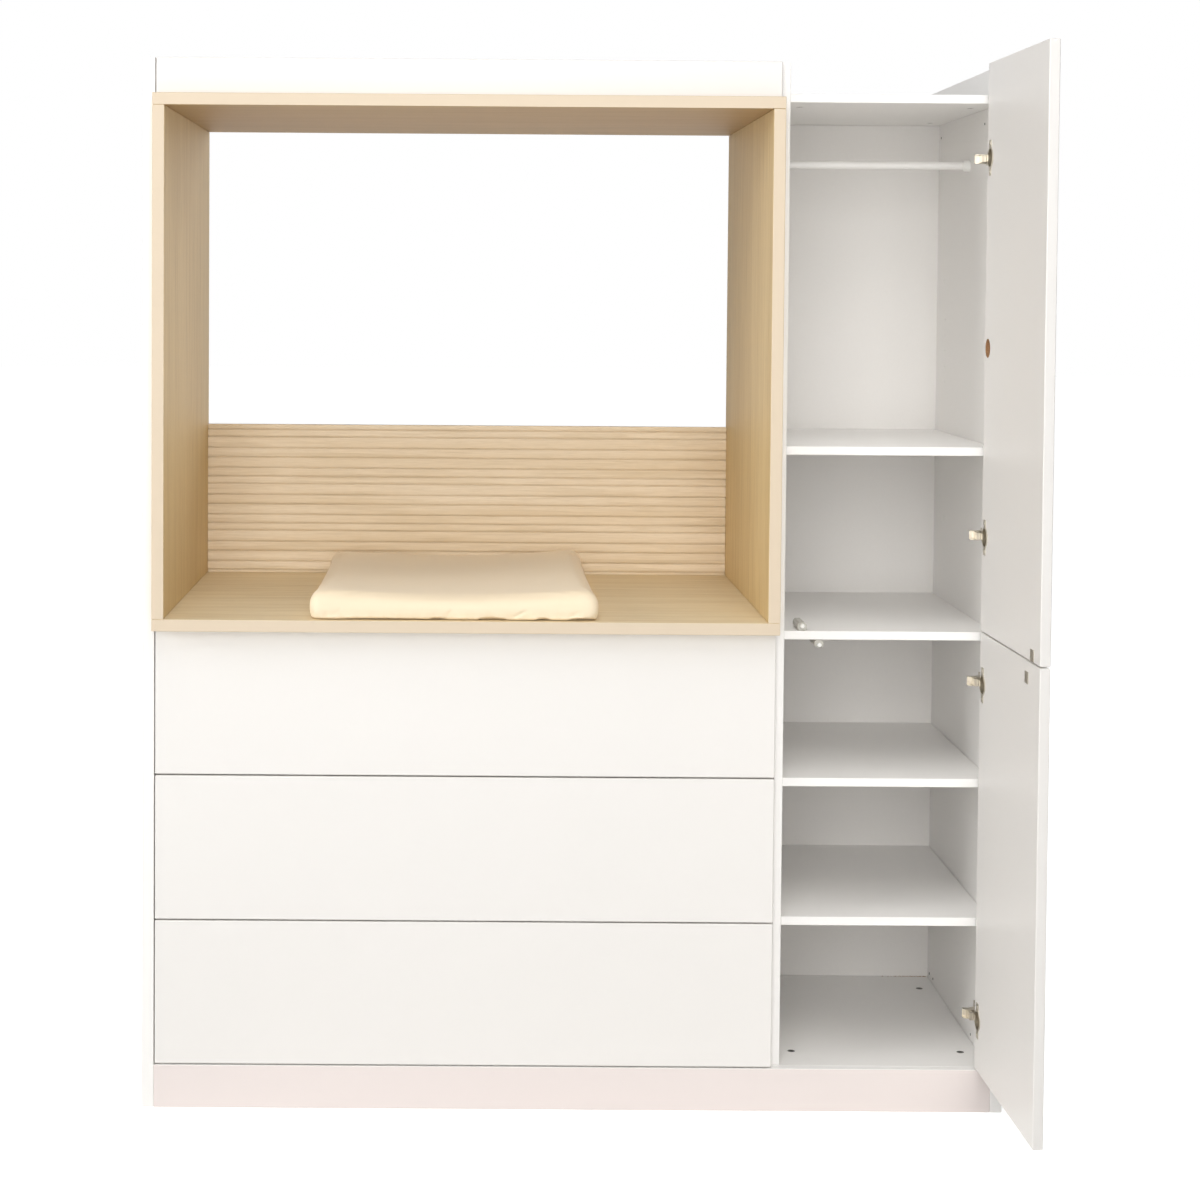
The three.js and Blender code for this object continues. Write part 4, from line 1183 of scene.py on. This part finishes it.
def gather(points, normals, low, high, settings):
    """Draws the hem in with gathers, lifts it off the floor in places and presses a few creases
    into the front."""
    half_width = (high.x - low.x) / 2
    half_length = (high.y - low.y) / 2
    centre = (low + high) / 2
    height = points[:, 2] - low.z
    across = (points[:, 0] - centre.x) / half_width
    along = (points[:, 1] - centre.y) / half_length
    # The way round the pad, in metres. The sides start elsewhere, to be gathered differently.
    on_front = np.abs(along) > np.abs(across)
    sides_start = 3.7
    run = np.where(on_front, points[:, 0], points[:, 1] + sides_start)
    # Gathers of three lengths, the shorter two unevenly spaced
    waves = np.zeros(len(points))
    for strength, length, sway in (
        (1.0, 31 * MM, 2.2 * np.sin(run * 17)),
        (0.6, 12.7 * MM, 3 * np.sin(run * 9 + 1)),
        (0.4, 71 * MM, 0.7),
    ):
        waves += strength * np.sin(run * 2 * np.pi / length + sway)
    low_down = np.clip(1 - height / settings.hem, 0, 1) ** 1.5
    rim_start, rim_width = 0.9, 0.06
    rim = np.clip((np.maximum(np.abs(across), np.abs(along)) - rim_start) / rim_width, 0, 1)
    outward = normals.copy()
    outward[:, 2] = 0
    points = points + outward * (waves * low_down * rim * settings.pucker * 0.5)[:, None]

    # Stretches of the front hem that stand off the floor, in x, and how far
    lift = np.zeros(len(points))
    for start, end, most in (
        (-434, -270, 1.8),
        (-270, -239, 4.0),
        (-182, -127, 5.0),
        (-75, -47, 4.4),
        (-14, 38, 5.4),
    ):
        middle = (start + end) / 2 * MM
        half = (end - start) / 2 * MM
        bell = np.clip(1 - ((points[:, 0] - middle) / half) ** 2, 0, 1) ** 0.6
        lift = np.maximum(lift, bell * most * MM)
    front_start, front_width = 0.93, 0.05
    front = np.clip((-along - front_start) / front_width, 0, 1)
    lifted_height = 9 * MM
    near_floor = np.clip(1 - height / lifted_height, 0, 1)
    points[:, 2] += lift * front * near_floor

    # Creases in the front, as start and end points in x and height, and a depth
    crease_width = 2.6 * MM
    for x0, z0, x1, z1, depth in (
        (-123, 3, -86, 21, 2.4),
        (-239, 6, -228, 20, 1.6),
        (-447, 8, -430, 24, 1.4),
        (-20, 5, 8, 18, 1.5),
        (-330, 4, -352, 15, 1.1),
    ):
        a = np.array([x0, z0]) * MM
        b = np.array([x1, z1]) * MM
        span = b - a
        where = np.stack([points[:, 0], height], axis=1) - a
        t = np.clip((where @ span) / (span @ span), 0, 1)
        gap = np.linalg.norm(where - t[:, None] * span, axis=1)
        pressed = np.exp(-((gap / crease_width) ** 2)) * np.sin(np.pi * np.clip(t, 0.08, 0.92))
        points[:, 1] += pressed * depth * MM * (along < -0.9)
    return points


class DRESSER_OT_changing_pad(bpy.types.Operator):
    """Makes the foam changing pad in its gathered jersey cover"""

    bl_idname = "dresser.changing_pad"
    bl_label = "Changing pad"

    def execute(self, context):
        settings = context.scene.dresser_pad
        low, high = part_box("changing_pad")
        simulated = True
        inset = settings.shrink if simulated else 0
        pad = link_object("changing_pad_cover", pad_mesh(low, high, settings, inset))
        remesh = pad.modifiers.new("Even mesh", "REMESH")
        remesh.mode = "VOXEL"
        coarser = 1 if simulated else 1.5
        remesh.voxel_size = settings.voxel * coarser
        smooth = pad.modifiers.new("Ease", "SMOOTH")
        smooth.factor = 0.5
        smooth.iterations = 2
        pad.data = plain_mesh(pad)
        if simulated:
            swell(pad, settings, low.z)
        finer = pad.modifiers.new("Finer", "SUBSURF")
        finer.levels = 1
        finer.render_levels = 1
        pad.data = plain_mesh(pad)
        mesh = pad.data
        normals = np.empty(len(mesh.vertices) * 3)
        mesh.vertices.foreach_get("normal", normals)
        # Smoothing draws the form in, so its plan is drawn out to the size that it has
        points = vertices_of(mesh)
        for axis in (0, 1):
            least, most = points[:, axis].min(), points[:, axis].max()
            points[:, axis] = np.interp(points[:, axis], (least, most), (low[axis], high[axis]))
        points = gather(points, normals.reshape(-1, 3), low, high, settings)
        # It lies on the niche's floor, in front of its back board
        points[:, 2] = np.maximum(points[:, 2], low.z)
        points[:, 1] = np.clip(points[:, 1], low.y - 3 * MM, high.y + 0.3 * MM)
        set_vertices(mesh, points)
        mesh.polygons.foreach_set("use_smooth", [True] * len(mesh.polygons))
        cover = jersey("Cotton jersey", context.scene.dresser_finishes, settings.wale)
        dress(pad, cover, "carcass")
        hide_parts("changing_pad")
        return {"FINISHED"}


class DRESSER_PT_panel(bpy.types.Panel):
    bl_idname = "DRESSER_PT_panel"
    bl_label = "Changing dresser"
    bl_space_type = "VIEW_3D"
    bl_region_type = "UI"
    bl_category = "Dresser"

    def draw(self, context):
        for step in steps:
            self.layout.operator(step.bl_idname)
        for group in groups.values():
            settings = getattr(context.scene, "dresser_" + group)
            for name in settings.bl_rna.properties.keys():
                if name not in ("rna_type", "name"):
                    self.layout.prop(settings, name)


groups = {
    DresserStage: "stage",
    DresserFinishes: "finishes",
    DresserSlats: "slats",
    DresserFittings: "fittings",
    DresserPad: "pad",
}

steps = (
    DRESSER_OT_stage,
    DRESSER_OT_finishes,
    DRESSER_OT_slatted_back,
    DRESSER_OT_rail,
    DRESSER_OT_screws,
    DRESSER_OT_cams,
    DRESSER_OT_shelf_pins,
    DRESSER_OT_spare_bore,
    DRESSER_OT_chips,
    DRESSER_OT_wall_caps,
    DRESSER_OT_changing_pad,
)


def register():
    for group in groups:
        bpy.utils.register_class(group)
        setattr(bpy.types.Scene, "dresser_" + groups[group], PointerProperty(type=group))
    for step in steps:
        bpy.utils.register_class(step)
    bpy.utils.register_class(DRESSER_PT_panel)


def unregister():
    bpy.utils.unregister_class(DRESSER_PT_panel)
    for step in reversed(steps):
        bpy.utils.unregister_class(step)
    for group in reversed(groups):
        delattr(bpy.types.Scene, "dresser_" + groups[group])
        bpy.utils.unregister_class(group)


def main():
    register()
    for step in steps:
        section, name = step.bl_idname.split(".")
        getattr(getattr(bpy.ops, section), name)()


if __name__ == "__main__":
    main()
